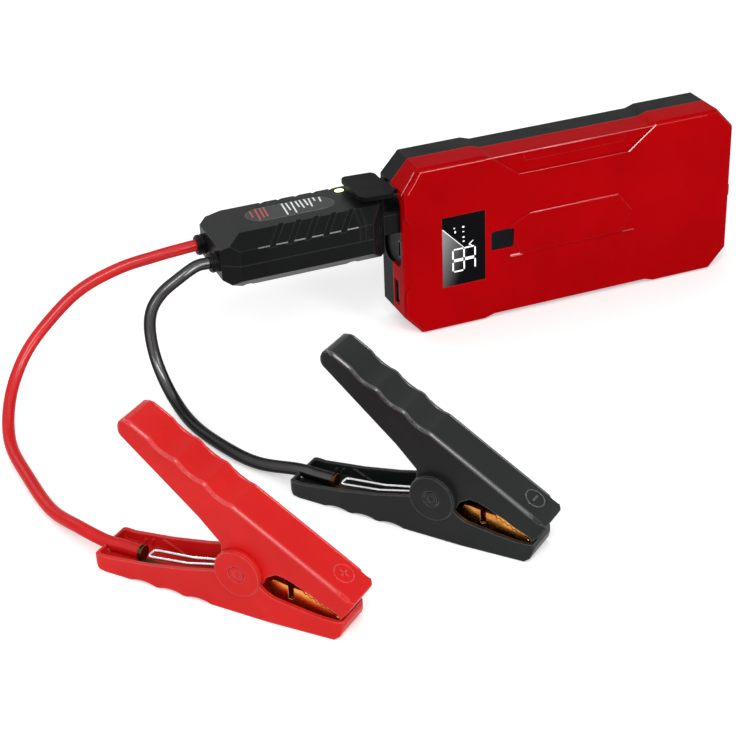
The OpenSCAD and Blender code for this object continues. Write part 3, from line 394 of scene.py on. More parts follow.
@dataclass(frozen=True)
class Finish:
    """What every finish has: its name and the record's slot it stands for."""

    name: str
    slot: str

    def material(self, effects: EffectLibrary) -> bpy.types.Material:
        """Builds the finish's material.

        Args:
            effects: The shared effect groups.

        Returns:
            The new material.
        """
        made = bpy.data.materials.new(self.name)
        graph = Graph.of(made, effects)
        graph.node("OutputMaterial", Surface=self._shader(graph).outputs[0])
        return made

    def _shader(self, graph: Graph) -> Node:
        """The finish's shader, which each kind of finish makes in its own way."""
        raise NotImplementedError


@dataclass(frozen=True)
class MouldedPlastic(Finish):
    """Injection-moulded plastic with a grain, scuffs and paler edges, the pale edges partly scuffing and
    partly a painted highlight.
    """

    tone: str
    shade: str
    edge: str
    rough: Pair
    grain_scale: float
    grain_depth: float
    gloss: float = 0.5
    wear_and_highlight: float = 0.5
    wear_and_highlight_width: float = 0.0005
    dust: float = 0.03
    edge_polish: float = 0.6

    def _shader(self, graph: Graph) -> Node:
        """Plastic whose colour, roughness and normal come from the shared effects.

        Args:
            graph: The material's nodes.

        Returns:
            The shader.
        """
        tone = graph.effect(SharedEffect.TONE_DRIFT, Tone=tint(self.tone), Shade=tint(self.shade))["Color"]
        wear_and_highlight = graph.effect(SharedEffect.EDGE_WEAR_AND_HIGHLIGHT, Radius=self.wear_and_highlight_width, Strength=self.wear_and_highlight)
        dust = graph.effect(SharedEffect.SETTLED_DUST, Amount=self.dust)["Mask"]
        marks = graph.effect(SharedEffect.HANDLING_MARKS, Amount=0.5)
        grain = graph.effect(SharedEffect.MOULDED_GRAIN, Scale=self.grain_scale)
        rough = graph.remap(grain["Speck"], 0.3, 0.7, *self.rough)
        height = graph.math("ADD", grain["Height"], graph.times(marks["Height"], 0.3))
        bump = graph.node(
            "Bump", Strength=self.grain_depth, Distance=0.0002, Height=height, Normal=wear_and_highlight["Normal"]
        )
        return graph.node(
            "BsdfPrincipled",
            # The pale edge colour is partly scuffing and partly a painted highlight.
            Base_Color=graph.blend(dust, graph.blend(wear_and_highlight["Mask"], tone, tint(self.edge)), tint("b8b4ac")),
            Roughness=graph.math("ADD", rough, graph.times(marks["Mask"], 0.1)),
            Normal=bump.outputs[0],
            Specular_IOR_Level=self.gloss,
            Coat_Weight=graph.times(wear_and_highlight["Edge"], self.edge_polish, clamp=True),
            Coat_Roughness=0.22,
            Coat_IOR=1.7,
        )


@dataclass(frozen=True)
class CableJacket(Finish):
    """Silicone jacket of a flexible lead, with faint specks from extrusion."""

    tone: str
    shade: str
    streak: float = 1.5
    rough: Pair = (0.24, 0.34)

    def _shader(self, graph: Graph) -> Node:
        """Rubber that is glossiest along the middle of its round.

        Args:
            graph: The material's nodes.

        Returns:
            The shader.
        """
        tone = graph.effect(
            SharedEffect.TONE_DRIFT, Tone=tint(self.tone), Shade=tint(self.shade), Scale=40.0
        )
        dust = graph.effect(SharedEffect.SETTLED_DUST, Amount=0.04)
        grain = graph.effect(SharedEffect.MOULDED_GRAIN, Scale=1500.0, Evenness=0.75)
        facing = graph.node("LayerWeight", Blend=0.5).outputs["Facing"]
        return graph.node(
            "BsdfPrincipled",
            Base_Color=graph.blend(dust["Mask"], tone["Color"], tint("a8a49c")),
            Roughness=graph.remap(grain["Speck"], 0.3, 0.7, *self.rough),
            Normal=graph.node("Bump", Strength=0.05, Distance=0.0002, Height=grain["Height"]).outputs[0],
            Specular_IOR_Level=0.06,
            Coat_Weight=graph.remap(facing, 0.02, 0.34, 0.95, 0.0),
            Coat_IOR=self.streak,
            Coat_Roughness=0.2,
        )


@dataclass(frozen=True)
class PlatedMetal(Finish):
    """Plated or bare metal with drawing lines and tarnish."""

    tone: str
    tarnish: str
    rough: Pair = (0.2, 0.35)
    along: Triple = (1.0, 1.0, 12.0)
    line_depth: float = 0.12

    def _shader(self, graph: Graph) -> Node:
        """Metal with a bump along its drawing lines.

        Args:
            graph: The material's nodes.

        Returns:
            The shader.
        """
        drawn = graph.effect(SharedEffect.DRAWN_METAL, Along=self.along)
        # Edges keep the clean metal tone through the same mask of scuffing and painted highlight.
        wear_and_highlight = graph.effect(SharedEffect.EDGE_WEAR_AND_HIGHLIGHT, Radius=0.0003, Strength=0.6)["Mask"]
        tarnished = graph.blend(drawn["Tarnish"], tint(self.tone), tint(self.tarnish))
        bump = graph.node("Bump", Strength=self.line_depth, Distance=0.0001, Height=drawn["Height"])
        return graph.node(
            "BsdfPrincipled",
            Base_Color=graph.blend(wear_and_highlight, tarnished, tint(self.tone)),
            Metallic=1.0,
            Roughness=graph.remap(drawn["Tarnish"], 0.0, 1.0, *self.rough),
            Normal=bump.outputs[0],
        )


@dataclass(frozen=True)
class DisplayGlass(Finish):
    """Black window with a pale diagonal band below its line: a painted reflection, put into the glass's
    colour.
    """

    painted_reflection: str
    tone: Colour = (0.004, 0.004, 0.005, 1.0)
    corner: Pair = (-0.0247, 0.0555)
    slope: float = 1.04
    line_width: float = 0.00012
    fade_weights: Pair = (1.35, 0.55)
    fade_reach: Pair = (0.002, 0.028)
    fade_power: float = 1.35

    def _shader(self, graph: Graph) -> Node:
        """Glossy black whose painted reflection fades away from the window's upper left.

        Args:
            graph: The material's nodes.

        Returns:
            The shader.
        """
        split = graph.node("SeparateXYZ", Vector=graph.place).outputs
        across = graph.math("SUBTRACT", split["X"], self.corner[0])
        down = graph.math("SUBTRACT", self.corner[1], split["Z"])
        past_line = graph.math("SUBTRACT", down, graph.times(across, self.slope))
        weigh_across, weigh_down = self.fade_weights
        reach = graph.math("ADD", graph.times(across, weigh_across), graph.times(down, weigh_down))
        fade = graph.math("POWER", graph.remap(reach, *self.fade_reach, 1.0, 0.0), self.fade_power)
        # The band is a painted reflection: pale grey mixed into the glass's own colour.
        band = graph.times(graph.remap(past_line, 0.0, self.line_width), fade)
        marks = graph.effect(SharedEffect.HANDLING_MARKS, Amount=0.35)
        return graph.node(
            "BsdfPrincipled",
            Base_Color=graph.blend(band, self.tone, tint(self.painted_reflection)),
            Roughness=graph.remap(marks["Mask"], 0.0, 1.0, 0.06, 0.22),
            Specular_IOR_Level=0.02,
        )


@dataclass(frozen=True)
class LitMark(Finish):
    """A lit segment or lamp, or a mark given a painted glow: a pale surface that gives off a little light."""

    tone: str
    rim: str
    power: float

    def _shader(self, graph: Graph) -> Node:
        """A surface with an emission that varies slightly over it.

        Args:
            graph: The material's nodes.

        Returns:
            The shader.
        """
        tone = graph.effect(
            SharedEffect.TONE_DRIFT, Tone=tint(self.tone), Shade=tint(self.rim), Scale=400.0
        )["Color"]
        return graph.node(
            "BsdfPrincipled", Base_Color=tone, Roughness=0.35, Emission_Color=tone,
            Emission_Strength=self.power,
        )


@dataclass(frozen=True)
class ClearLens(Finish):
    """Clear plastic lens with faint moulded rings."""

    tone: Colour = (0.92, 0.94, 0.96, 1.0)

    def _shader(self, graph: Graph) -> Node:
        """Clear plastic with a fine ripple.

        Args:
            graph: The material's nodes.

        Returns:
            The shader.
        """
        grain = graph.effect(SharedEffect.MOULDED_GRAIN, Scale=800.0, Evenness=0.2)
        bump = graph.node("Bump", Strength=0.06, Distance=0.0001, Height=grain["Height"])
        return graph.node(
            "BsdfPrincipled",
            Base_Color=self.tone,
            Roughness=graph.remap(grain["Speck"], 0.3, 0.7, 0.04, 0.12),
            Normal=bump.outputs[0],
            IOR=1.49,
            Transmission_Weight=0.9,
        )


class Palette:
    """Every finish of the object by its plain name, each built once."""

    # Name, slot, tone, shade, edge (a pale colour, partly scuffing and partly painted highlight), roughness,
    # then the grain's scale and depth, the gloss, the pale edges' strength and width, the dust and the edges'
    # polish.
    PLASTICS: tuple[tuple[object, ...], ...] = (
        ("face_red_plastic", "red_housing", "b2040a", "a60309", "cc1a20",
         (0.26, 0.36), 3000.0, 0.05, 0.01, 0.35, 0.0005, 0.0, 0.45),
        # The lips' red is lighter than the face's red: a painted highlight on top of their real gloss.
        ("face_red_lip_painted_highlight", "red_housing", "c60d14", "b9090f", "e2333a",
         (0.14, 0.2), 3000.0, 0.03, 0.9, 0.2, 0.0001, 0.0, 0.0),
        ("case_black_plastic", "black_housing", "141517", "0f1012", "282a2c",
         (0.34, 0.48), 2200.0, 0.2, 0.04, 0.5, 0.0006, 0.01),
        ("inner_grey_plastic", "inner_plastic", "3a3a3c", "333335", "58585a", (0.45, 0.6), 2000.0, 0.1),
        ("button_black_plastic", "button_plastic", "0c1114", "090d0f", "2c3236",
         (0.3, 0.42), 2600.0, 0.1, 0.06, 0.6, 0.0004, 0.0),
        ("lead_box_plastic", "box_plastic", "151617", "101112", "2e3031",
         (0.26, 0.36), 1900.0, 0.14, 0.07, 0.5, 0.0006, 0.005, 0.45),
        # The shoulder lips' black is lighter than the box's: a painted highlight on top of their real gloss.
        ("box_black_lip_painted_highlight", "box_plastic", "1a1b1c", "141516", "2e3031",
         (0.18, 0.3), 1900.0, 0.03, 0.7, 0.2, 0.0001, 0.0, 0.0),
        ("label_film_grey", "label_film", "252929", "1f2323", "4c5753",
         (0.26, 0.36), 1600.0, 0.05, 0.17, 0.5, 0.0004, 0.0),
        ("label_rim_green", "label_film", "4c5b56", "42504b", "66766f",
         (0.3, 0.4), 1600.0, 0.05, 0.2, 0.3, 0.0003, 0.0),
        ("flap_rubber", "soft_rubber", "0b0b0c", "080809", "202021",
         (0.5, 0.66), 1500.0, 0.2, 0.06, 0.35, 0.0005, 0.01),
        ("clamp_red_plastic", "red_clamp_plastic", "d81f1d", "cc1918", "f0605a",
         (0.32, 0.44), 2100.0, 0.14, 0.14, 0.6, 0.0009, 0.0),
        ("clamp_red_bead", "red_clamp_plastic", "dc2422", "d01c1b", "f0605a",
         (0.2, 0.3), 2100.0, 0.03, 0.6, 0.3, 0.0001, 0.0, 0.0),
        ("clamp_black_plastic", "black_clamp_plastic", "202222", "1a1c1c", "5c5f5f",
         (0.3, 0.42), 2100.0, 0.16, 0.14, 0.6, 0.0009, 0.005),
        ("clamp_black_bead", "black_clamp_plastic", "202222", "191b1b", "6c6f6f",
         (0.2, 0.3), 2100.0, 0.03, 1.0, 0.3, 0.0001, 0.0, 0.0),
        ("board_green", "circuit_board", "1d5c33", "174c2a", "3c7d50", (0.3, 0.5), 1200.0, 0.05),
    )
    FINISHES: tuple[Finish, ...] = (
        CableJacket("cable_red_silicone", "red_cable_jacket", "d81c1e", "c8171a"),
        CableJacket("cable_black_silicone", "black_cable_jacket", "0c0d0d", "090a0a", 1.95),
        PlatedMetal("nickel_steel", "bright_steel", "c9c9cb", "a2a2a6"),
        # The sockets' steel is darkened as painted shade, for the shade inside the port recesses.
        PlatedMetal("socket_steel_painted_shade", "bright_steel", "5c5c60", "3e3e42", (0.3, 0.45)),
        PlatedMetal("spring_bright_steel", "spring_steel", "e6e6e8", "c4c4c8", (0.14, 0.24)),
        PlatedMetal("contact_gold", "contact_brass", "e4bd66", "c79a45"),
        PlatedMetal("foil_cell_wrap", "cell_foil", "b4b8bc", "9a9ea2", (0.3, 0.45)),
        PlatedMetal("jaw_copper", "copper", "e39b4b", "b46a28", (0.2, 0.34), (9.0, 9.0, 1.2), 0.16),
        # The lug's copper is darkened well below the jaws' copper.
        PlatedMetal("lug_darkened_copper", "copper", "5e4028", "3f2a1a", (0.4, 0.55)),
        # The window's pale grey is a painted reflection, laid into the glass's colour.
        DisplayGlass("display_black_glass", "window_glass", "9a9a9a"),
        LitMark("digit_white", "window_glass", "f4f6f8", "dfe3e6", 0.55),
        # The label's print is given a faint painted glow, though ink gives off no light.
        LitMark("label_white_ink_painted_glow", "label_film", "dfe4e2", "c6ccca", 0.12),
        LitMark("label_red_ink_painted_glow", "label_film", "b8272b", "8f1d21", 0.08),
        LitMark("status_green_light", "led_lens", "e6ffb8", "c6f27a", 6.0),
        ClearLens("torch_clear_lens", "lens_plastic"),
    )

    def __init__(self) -> None:
        """Lists the finishes by name, with no material built yet."""
        plastics = tuple(MouldedPlastic(*row) for row in self.PLASTICS)
        self.known = {finish.name: finish for finish in plastics + self.FINISHES}
        self._effects = EffectLibrary()
        self._made: dict[str, bpy.types.Material] = {}

    def dress(self, piece: Piece, name: str) -> None:
        """Gives a whole piece one finish.

        Args:
            piece: A mesh or curve object.
            name: The finish's name.
        """
        if name not in self._made:
            self._made[name] = self.known[name].material(self._effects)
        piece.data.materials.clear()
        piece.data.materials.append(self._made[name])


# --------------------------------------------------------------------------- mesh making


@dataclass(frozen=True)
class LocalAxes:
    """Axes of a piece that stands turned on the floor."""

    at: Pair = (0.0, 0.0)
    yaw: float = 0.0

    def matrix(self) -> Matrix:
        """The matrix from the piece's own axes to the part's frame."""
        return Matrix.Translation((*self.at, 0.0)) @ Matrix.Rotation(math.radians(self.yaw), 4, "Z")

    def point(self, along: float, across: float, up: float) -> Vector:
        """A point given in these axes, in the part's frame."""
        return self.matrix() @ Vector((along, across, up))


@dataclass(frozen=True)
class EdgeSight:
    """One edge of a solid in its piece's own axes."""

    middle: Vector
    along: Vector
    length: float


@dataclass(frozen=True)
class EdgeRound:
    """A rounding of those outer edges of a solid that turn by more than so many degrees."""

    radius: float
    segments: int
    turn: float
    where: Callable[[EdgeSight], bool] = lambda edge: True

    def takes(self, edge: bmesh.types.BMEdge, back: Matrix) -> bool:
        """Whether the rounding takes an edge.

        Args:
            edge: The edge.
            back: From the part's frame to the piece's own axes.

        Returns:
            True where the edge is to be rounded.
        """
        if len(edge.link_faces) != 2 or not edge.is_convex:
            return False
        first, second = (face.normal for face in edge.link_faces)
        if min(first.length, second.length) < 0.5 or math.degrees(first.angle(second)) <= self.turn:
            return False
        start, end = (back @ vert.co for vert in edge.verts)
        return self.where(EdgeSight((start + end) / 2, (end - start).normalized(), (end - start).length))


@dataclass(frozen=True)
class Lip:
    """A fine sloped lip that faces the front, high on the left of its line as seen from the front.

    The line is in millimetres along the pack and up, and `back` is the depth of its high side.
    """

    line: tuple[Pair, ...]
    wide: float
    slope: float
    back: float
    root: float = 0.4

    def build(self, work: Work) -> None:
        """Adds the lip to a work mesh.

        Args:
            work: The mesh to add to.
        """
        slope = math.radians(self.slope)
        half, rise = self.wide * math.cos(slope) / 2, self.wide * math.sin(slope)
        points = [Vector(point) for point in self.line]
        steps = [(far - near).normalized() for near, far in zip(points, points[1:])]
        rings = []
        for i, point in enumerate(points):
            normals = [Vector((-step.y, step.x)) for step in steps[max(0, i - 1):i + 1]]
            middle = sum(normals, Vector((0.0, 0.0))).normalized()
            reach = middle * half / max(0.5, middle.dot(normals[0]))
            high, low, inner = point + reach, point - reach, self.back + self.root
            corners = ((low, self.back - rise), (high, self.back), (high, inner), (low, inner))
            rings.append([work.verts.new(Vector((spot.x, depth, spot.y)) * MM) for spot, depth in corners])
        MeshWorks.skin(work, rings)


class MeshWorks:
    """Makes the meshes of pieces and puts them on their bodies."""

    MERGE_WITHIN = 2e-6
    FLAT_WITHIN = math.radians(0.4)
    SHARP_FROM = math.radians(38.0)

    def __init__(self, frame: dict[str, object], palette: Palette) -> None:
        """Keeps the frame and the palette that pieces are made with."""
        self.nodes, self.palette = frame["nodes"], palette
        self.made: dict[str, Piece] = {}

    def add(
        self, name: str, data: Work | bpy.types.ID, body: str | None, finish: str,
        replaces: Iterable[str] = (),
    ) -> Piece:
        """Puts a piece into the scene.

        Args:
            name: The piece's name.
            data: Its work mesh, mesh or curve.
            body: The body it rides on, or None where it rides on none.
            finish: Its finish's name.
            replaces: CAD nodes that it stands for.

        Returns:
            The new object.
        """
        if isinstance(data, Work):
            data = self.settled(name, data)
        piece = put(name, data)
        self.palette.dress(piece, finish)
        if body is not None:
            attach(piece, body)
        for node in replaces:
            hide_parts(node)
        self.made[name] = piece
        LOG.info("made %s on %s with %s", name, body, finish)
        return piece

    def dress_nodes(self, finishes: Mapping[str, str]) -> None:
        """Gives finishes to CAD solids whose shape stays.

        Args:
            finishes: Finish name of each node.
        """
        for node, finish in finishes.items():
            self.palette.dress(self.nodes[node], finish)

    def rounded_copy(
        self, node: str, body: str, finish: str, rounds: Sequence[EdgeRound], axes: LocalAxes = LocalAxes()
    ) -> None:
        """Builds a piece from a CAD solid's faces with chosen edges rounded.

        Args:
            node: The CAD node it stands for.
            body: The body it rides on.
            finish: Its finish's name.
            rounds: Roundings, made in order.
            axes: The axes that the roundings see.
        """
        work = bmesh.new()
        work.from_mesh(self.nodes[node].data)
        bmesh.ops.remove_doubles(work, verts=work.verts, dist=self.MERGE_WITHIN)
        bmesh.ops.dissolve_limit(
            work, angle_limit=self.FLAT_WITHIN, use_dissolve_boundaries=False, verts=work.verts,
            edges=work.edges,
        )
        bmesh.ops.recalc_face_normals(work, faces=work.faces)
        back = axes.matrix().inverted()
        for rounding in rounds:
            picked = [edge for edge in work.edges if rounding.takes(edge, back)]
            if picked:
                bmesh.ops.bevel(
                    work, geom=picked, offset=rounding.radius, offset_type="OFFSET",
                    segments=rounding.segments, profile=0.5, affect="EDGES", clamp_overlap=True,
                    loop_slide=True, miter_outer="ARC",
                )
        name = node + "_moulding"
        piece = self.add(name, self.shaded(name, work), body, finish, (node,))
        even = piece.modifiers.new("even_shading", "WEIGHTED_NORMAL")
        even.keep_sharp = True
        even.weight = 80

    @staticmethod
    def shaded(name: str, work: Work) -> bpy.types.Mesh:
        """Turns a work mesh into mesh data, smooth but for its sharp edges.

        Args:
            name: The data's name.
            work: The work mesh, which is freed.

        Returns:
            The mesh data.
        """
        for face in work.faces:
            face.smooth = True
        for edge in work.edges:
            edge.smooth = len(edge.link_faces) == 2 and edge.calc_face_angle(0.0) < MeshWorks.SHARP_FROM
        mesh = bpy.data.meshes.new(name)
        work.to_mesh(mesh)
        work.free()
        return mesh

    @staticmethod
    def settled(name: str, work: Work) -> bpy.types.Mesh:
        """Turns a work mesh into mesh data with all normals set to look outwards first."""
        bmesh.ops.recalc_face_normals(work, faces=work.faces)
        return MeshWorks.shaded(name, work)

    def add_lips(self, name: str, lips: Sequence[Lip], body: str, finish: str) -> None:
        """Adds a set of lips as one piece.

        Args:
            name: The piece's name.
            lips: The lips.
            body: The body that they ride on.
            finish: Their finish's name.
        """
        work = bmesh.new()
        for lip in lips:
            lip.build(work)
        self.add(name, work, body, finish)

    @staticmethod
    def skin(work: Work, rings: Sequence[Sequence[Corner]], capped: bool = True) -> None:
        """Joins sections with faces, each to the next.

        Args:
            work: The mesh to add to.
            rings: The sections' corners, in order.
            capped: Whether the first and the last section are closed.
        """
        for low, high in zip(rings, rings[1:]):
            for k in range(len(low)):
                j = (k + 1) % len(low)
                work.faces.new((low[k], low[j], high[j], high[k]))
        if capped:
            work.faces.new(list(reversed(rings[0])))
            work.faces.new(rings[-1])

    @staticmethod
    def plate(work: Work, outline: Sequence[Vector], rise: Vector, edge: float = 0.0) -> None:
        """Adds a flat plate with a small sloped rim.

        Args:
            work: The mesh to add to.
            outline: The plate's foot, in order.
            rise: From its foot to its top.
            edge: How far the top is drawn in.
        """
        middle = sum(outline, Vector()) / len(outline)
        top = [point + rise + (middle - point).normalized() * edge for point in outline]
        MeshWorks.skin(work, [[work.verts.new(point) for point in level] for level in (outline, top)])

    @staticmethod
    def _section(
        work: Work, middle: Vector, side: Vector, other: Vector, radius: float, angles: Iterable[float]
    ) -> list[Corner]:
        """Adds the corners of one round section.

        Args:
            work: The mesh to add to.
            middle: The section's middle.
            side: Where the angle 0 lies.
            other: Where a quarter turn lies.
            radius: The section's radius.
            angles: The corners' angles.

        Returns:
            The corners.
        """
        return [work.verts.new(middle + (side * math.cos(a) + other * math.sin(a)) * radius) for a in angles]

    @staticmethod
    def tube(
        work: Work, line: Sequence[Vector], radius: float, sides: int, facing: Vector | None = None
    ) -> None:
        """Adds a closed round tube along a line, without twist.

        Args:
            work: The mesh to add to.
            line: The middle of the tube.
            radius: Its radius.
            sides: Faces round it.
            facing: Where one of its faces looks at the start of the line, if that matters.
        """
        side = facing
        turn = math.pi / sides if facing else 0.0
        angles = [2 * math.pi * k / sides + turn for k in range(sides)]
        rings = []
        for i, point in enumerate(line):
            along = (line[min(len(line) - 1, i + 1)] - line[max(0, i - 1)]).normalized()
            side = along.orthogonal().normalized() if side is None else side
            side = (side - along * side.dot(along)).normalized()
            rings.append(MeshWorks._section(work, point, side, along.cross(side), radius, angles))
        MeshWorks.skin(work, rings)

    @staticmethod
    def loop_bead(work: Work, points: Sequence[Vector], radius: float, sides: int = 8) -> None:
        """Adds a bead of round section along a closed line.

        Args:
            work: The mesh to add to.
            points: The closed line.
            radius: The bead's radius.
            sides: Faces round it.
        """
        normal = (points[1] - points[0]).cross(points[2] - points[1]).normalized()
        angles = [2 * math.pi * k / sides for k in range(sides)]
        rings = []
        for i, point in enumerate(points):
            along = (points[(i + 1) % len(points)] - points[i - 1]).normalized()
            side = normal.cross(along).normalized()
            rings.append(MeshWorks._section(work, point, side, normal, radius, angles))
        MeshWorks.skin(work, [*rings, rings[0]], capped=False)


@dataclass
class SubAssembly:
    """A group of pieces that one mesh maker builds."""

    works: MeshWorks


# --------------------------------------------------------------------------- studio


@dataclass(frozen=True)
class Lamp:
    """One soft area lamp, its long side along its own direction."""

    name: str
    place: Triple
    size: Pair
    power: float
    along: Triple = (1.0, 0.0, 0.0)

    def build(self, target: Vector) -> None:
        """Adds the lamp to the scene.

        Args:
            target: The point that it faces.
        """
        back = (Vector(self.place) - target).normalized()
        side = (Vector(self.along) - back * back.dot(Vector(self.along))).normalized()
        data = bpy.data.lights.new(self.name, "AREA")
        data.shape = "RECTANGLE"
        data.size, data.size_y = self.size
        data.energy = self.power
        turn = Matrix((side, back.cross(side), back)).transposed().to_4x4()
        put(self.name, data).matrix_world = Matrix.Translation(self.place) @ turn


@dataclass
class Studio:
    """Camera, floor and soft light."""

    eye: Triple = (-0.3549, -0.7657, 0.4468)
    right: Triple = (0.92546, -0.37706, -0.03662)
    up: Triple = (0.21658, 0.44729, 0.86777)
    back: Triple = (-0.31082, -0.81102, 0.49561)
    lens: float = 89.98
    target: Triple = (-0.06, -0.08, 0.04)
    ambient: float = 0.38
    floor_half: float = 6.0
    floor_sink: float = 0.0003
    floor_tone: float = 0.86
    floor_glow: float = 0.4
    lamps: tuple[Lamp, ...] = (
        Lamp("key_softbox", (-0.60, -1.02, 1.18), (1.20, 0.26), 9.5, (0.80, 0.22, 0.56)),
        Lamp("right_panel", (0.50, -1.33, 0.70), (0.95, 0.40), 8.0, (0.0, 0.25, 1.0)),
        Lamp("left_strip", (-1.45, -0.90, 0.45), (0.60, 0.20), 2.6, (0.0, 0.2, 1.0)),
        Lamp("top_softbox", (0.10, 0.35, 1.70), (1.20, 0.50), 2.0),
        Lamp("back_strip", (-0.68, 0.92, 0.78), (0.80, 0.18), 4.0, (0.90, 0.16, 0.39)),
    )

    def build_camera(self) -> None:
        """Places the camera at the object's viewing angle."""
        data = bpy.data.cameras.new("view_camera")
        data.lens = self.lens
        data.sensor_width = 36.0
        data.clip_start = 0.02
        data.clip_end = 30.0
        camera = put("view_camera", data)
        turn = Matrix((self.right, self.up, self.back)).transposed().to_4x4()
        camera.matrix_world = Matrix.Translation(self.eye) @ turn
        bpy.context.scene.camera = camera
        LOG.info("camera placed")

    def build_floor(self) -> None:
        """Lays a plain pale floor that keeps the object's shadow."""
        work = bmesh.new()
        bmesh.ops.create_grid(work, x_segments=2, y_segments=2, size=self.floor_half)
        floor = put("studio_floor", MeshWorks.settled("studio_floor", work))
        floor.location.z = -self.floor_sink
        material = bpy.data.materials.new("pale_floor")
        graph = Graph.of(material)
        matt = graph.node("BsdfDiffuse", Color=(self.floor_tone,) * 3 + (1.0,))
        glow = graph.node("Emission", Color=WHITE, Strength=graph.times(self._seen(graph), self.floor_glow))
        both = graph.node("AddShader")
        graph.fill(both, {0: matt.outputs[0], 1: glow.outputs[0]})
        graph.node("OutputMaterial", Surface=both.outputs[0])
        floor.data.materials.append(material)
        LOG.info("floor laid")

    @staticmethod
    def _seen(graph: Graph) -> Socket:
        """1 for camera, glossy and transmission rays, and 0 for the rest.

        Args:
            graph: The nodes to add to.

        Returns:
            The mask.
        """
        rays = graph.node("LightPath").outputs
        first = graph.math("MAXIMUM", rays["Is Camera Ray"], rays["Is Glossy Ray"])
        return graph.math("MAXIMUM", first, rays["Is Transmission Ray"])

    def build_light(self) -> None:
        """Adds the world's even light and the soft lamps."""
        world = bpy.data.worlds.new("studio_world")
        bpy.context.scene.world = world
        graph = Graph.of(world)
        strength = graph.remap(self._seen(graph), 0.0, 1.0, self.ambient)
        sky = graph.node("Background", Color=WHITE, Strength=strength)
        graph.node("OutputWorld", Surface=sky.outputs[0])
        for lamp in self.lamps:
            lamp.build(Vector(self.target))
        LOG.info("light set with %d lamps", len(self.lamps))


# --------------------------------------------------------------------------- leads


@dataclass
class Lead(SubAssembly):
    """One flexible cable from the lead box to its clamp. Its middle points are in millimetres."""

    colour: str
    exit_side: float
    length: float
    clamp: LocalAxes
    middle: tuple[Triple, ...]
    run_in: Triple = (-0.006, 0.003, 0.012)
    diameter: float = 0.0058
    box_end: float = -0.1393
    gland: float = 0.0042
    height: float = 0.062
    clamp_height: float = 0.0065
    handle_part: float = 6.0

    def route(self) -> list[Vector]:
        """The points that the lead passes, from the box into the clamp.

        Returns:
            The points in the part's frame.
        """
        starts = (self.box_end - 0.0001, self.box_end - self.gland - 0.001)
        start = [Vector((x, self.exit_side, self.height)) for x in starts]
        end = [self.clamp.point(along, 0.0, self.clamp_height) for along in self.run_in]
        return start + [Vector(point) * MM for point in self.middle] + end

    def build(self) -> None:
        """Makes the lead as one smooth curve."""
        points = self.route()
        name = self.colour + "_lead"
        curve = bpy.data.curves.new(name, "CURVE")
        curve.dimensions = "3D"
        curve.bevel_depth = self.diameter / 2
        curve.bevel_resolution = 6
        curve.resolution_u = 12
        curve.use_fill_caps = True
        spline = curve.splines.new("BEZIER")
        last = len(points) - 1
        spline.bezier_points.add(last)
        for i, (point, knot) in enumerate(zip(points, spline.bezier_points)):
            reach = (points[min(last, i + 1)] - points[max(0, i - 1)]) / self.handle_part
            knot.handle_left_type = knot.handle_right_type = "FREE"
            knot.co = point
            knot.handle_left = point - reach
            knot.handle_right = point + reach
        self.works.add(name, curve, "lead_set", f"cable_{self.colour}_silicone", (self.colour + "_cable",))

    def declare(self) -> None:
        made = self.works.made
        lead = made[self.colour + "_lead"]
        on_it = [piece for name, piece in made.items() if name.startswith(self.colour) and piece is not lead]
        kept = ("gland", "cable_lug", "upper_rivet", "lower_rivet")
        on_it += [self.works.nodes[f"{self.colour}_{part}"] for part in kept]
        tuple(self.route()[1])


# --------------------------------------------------------------------------- pack


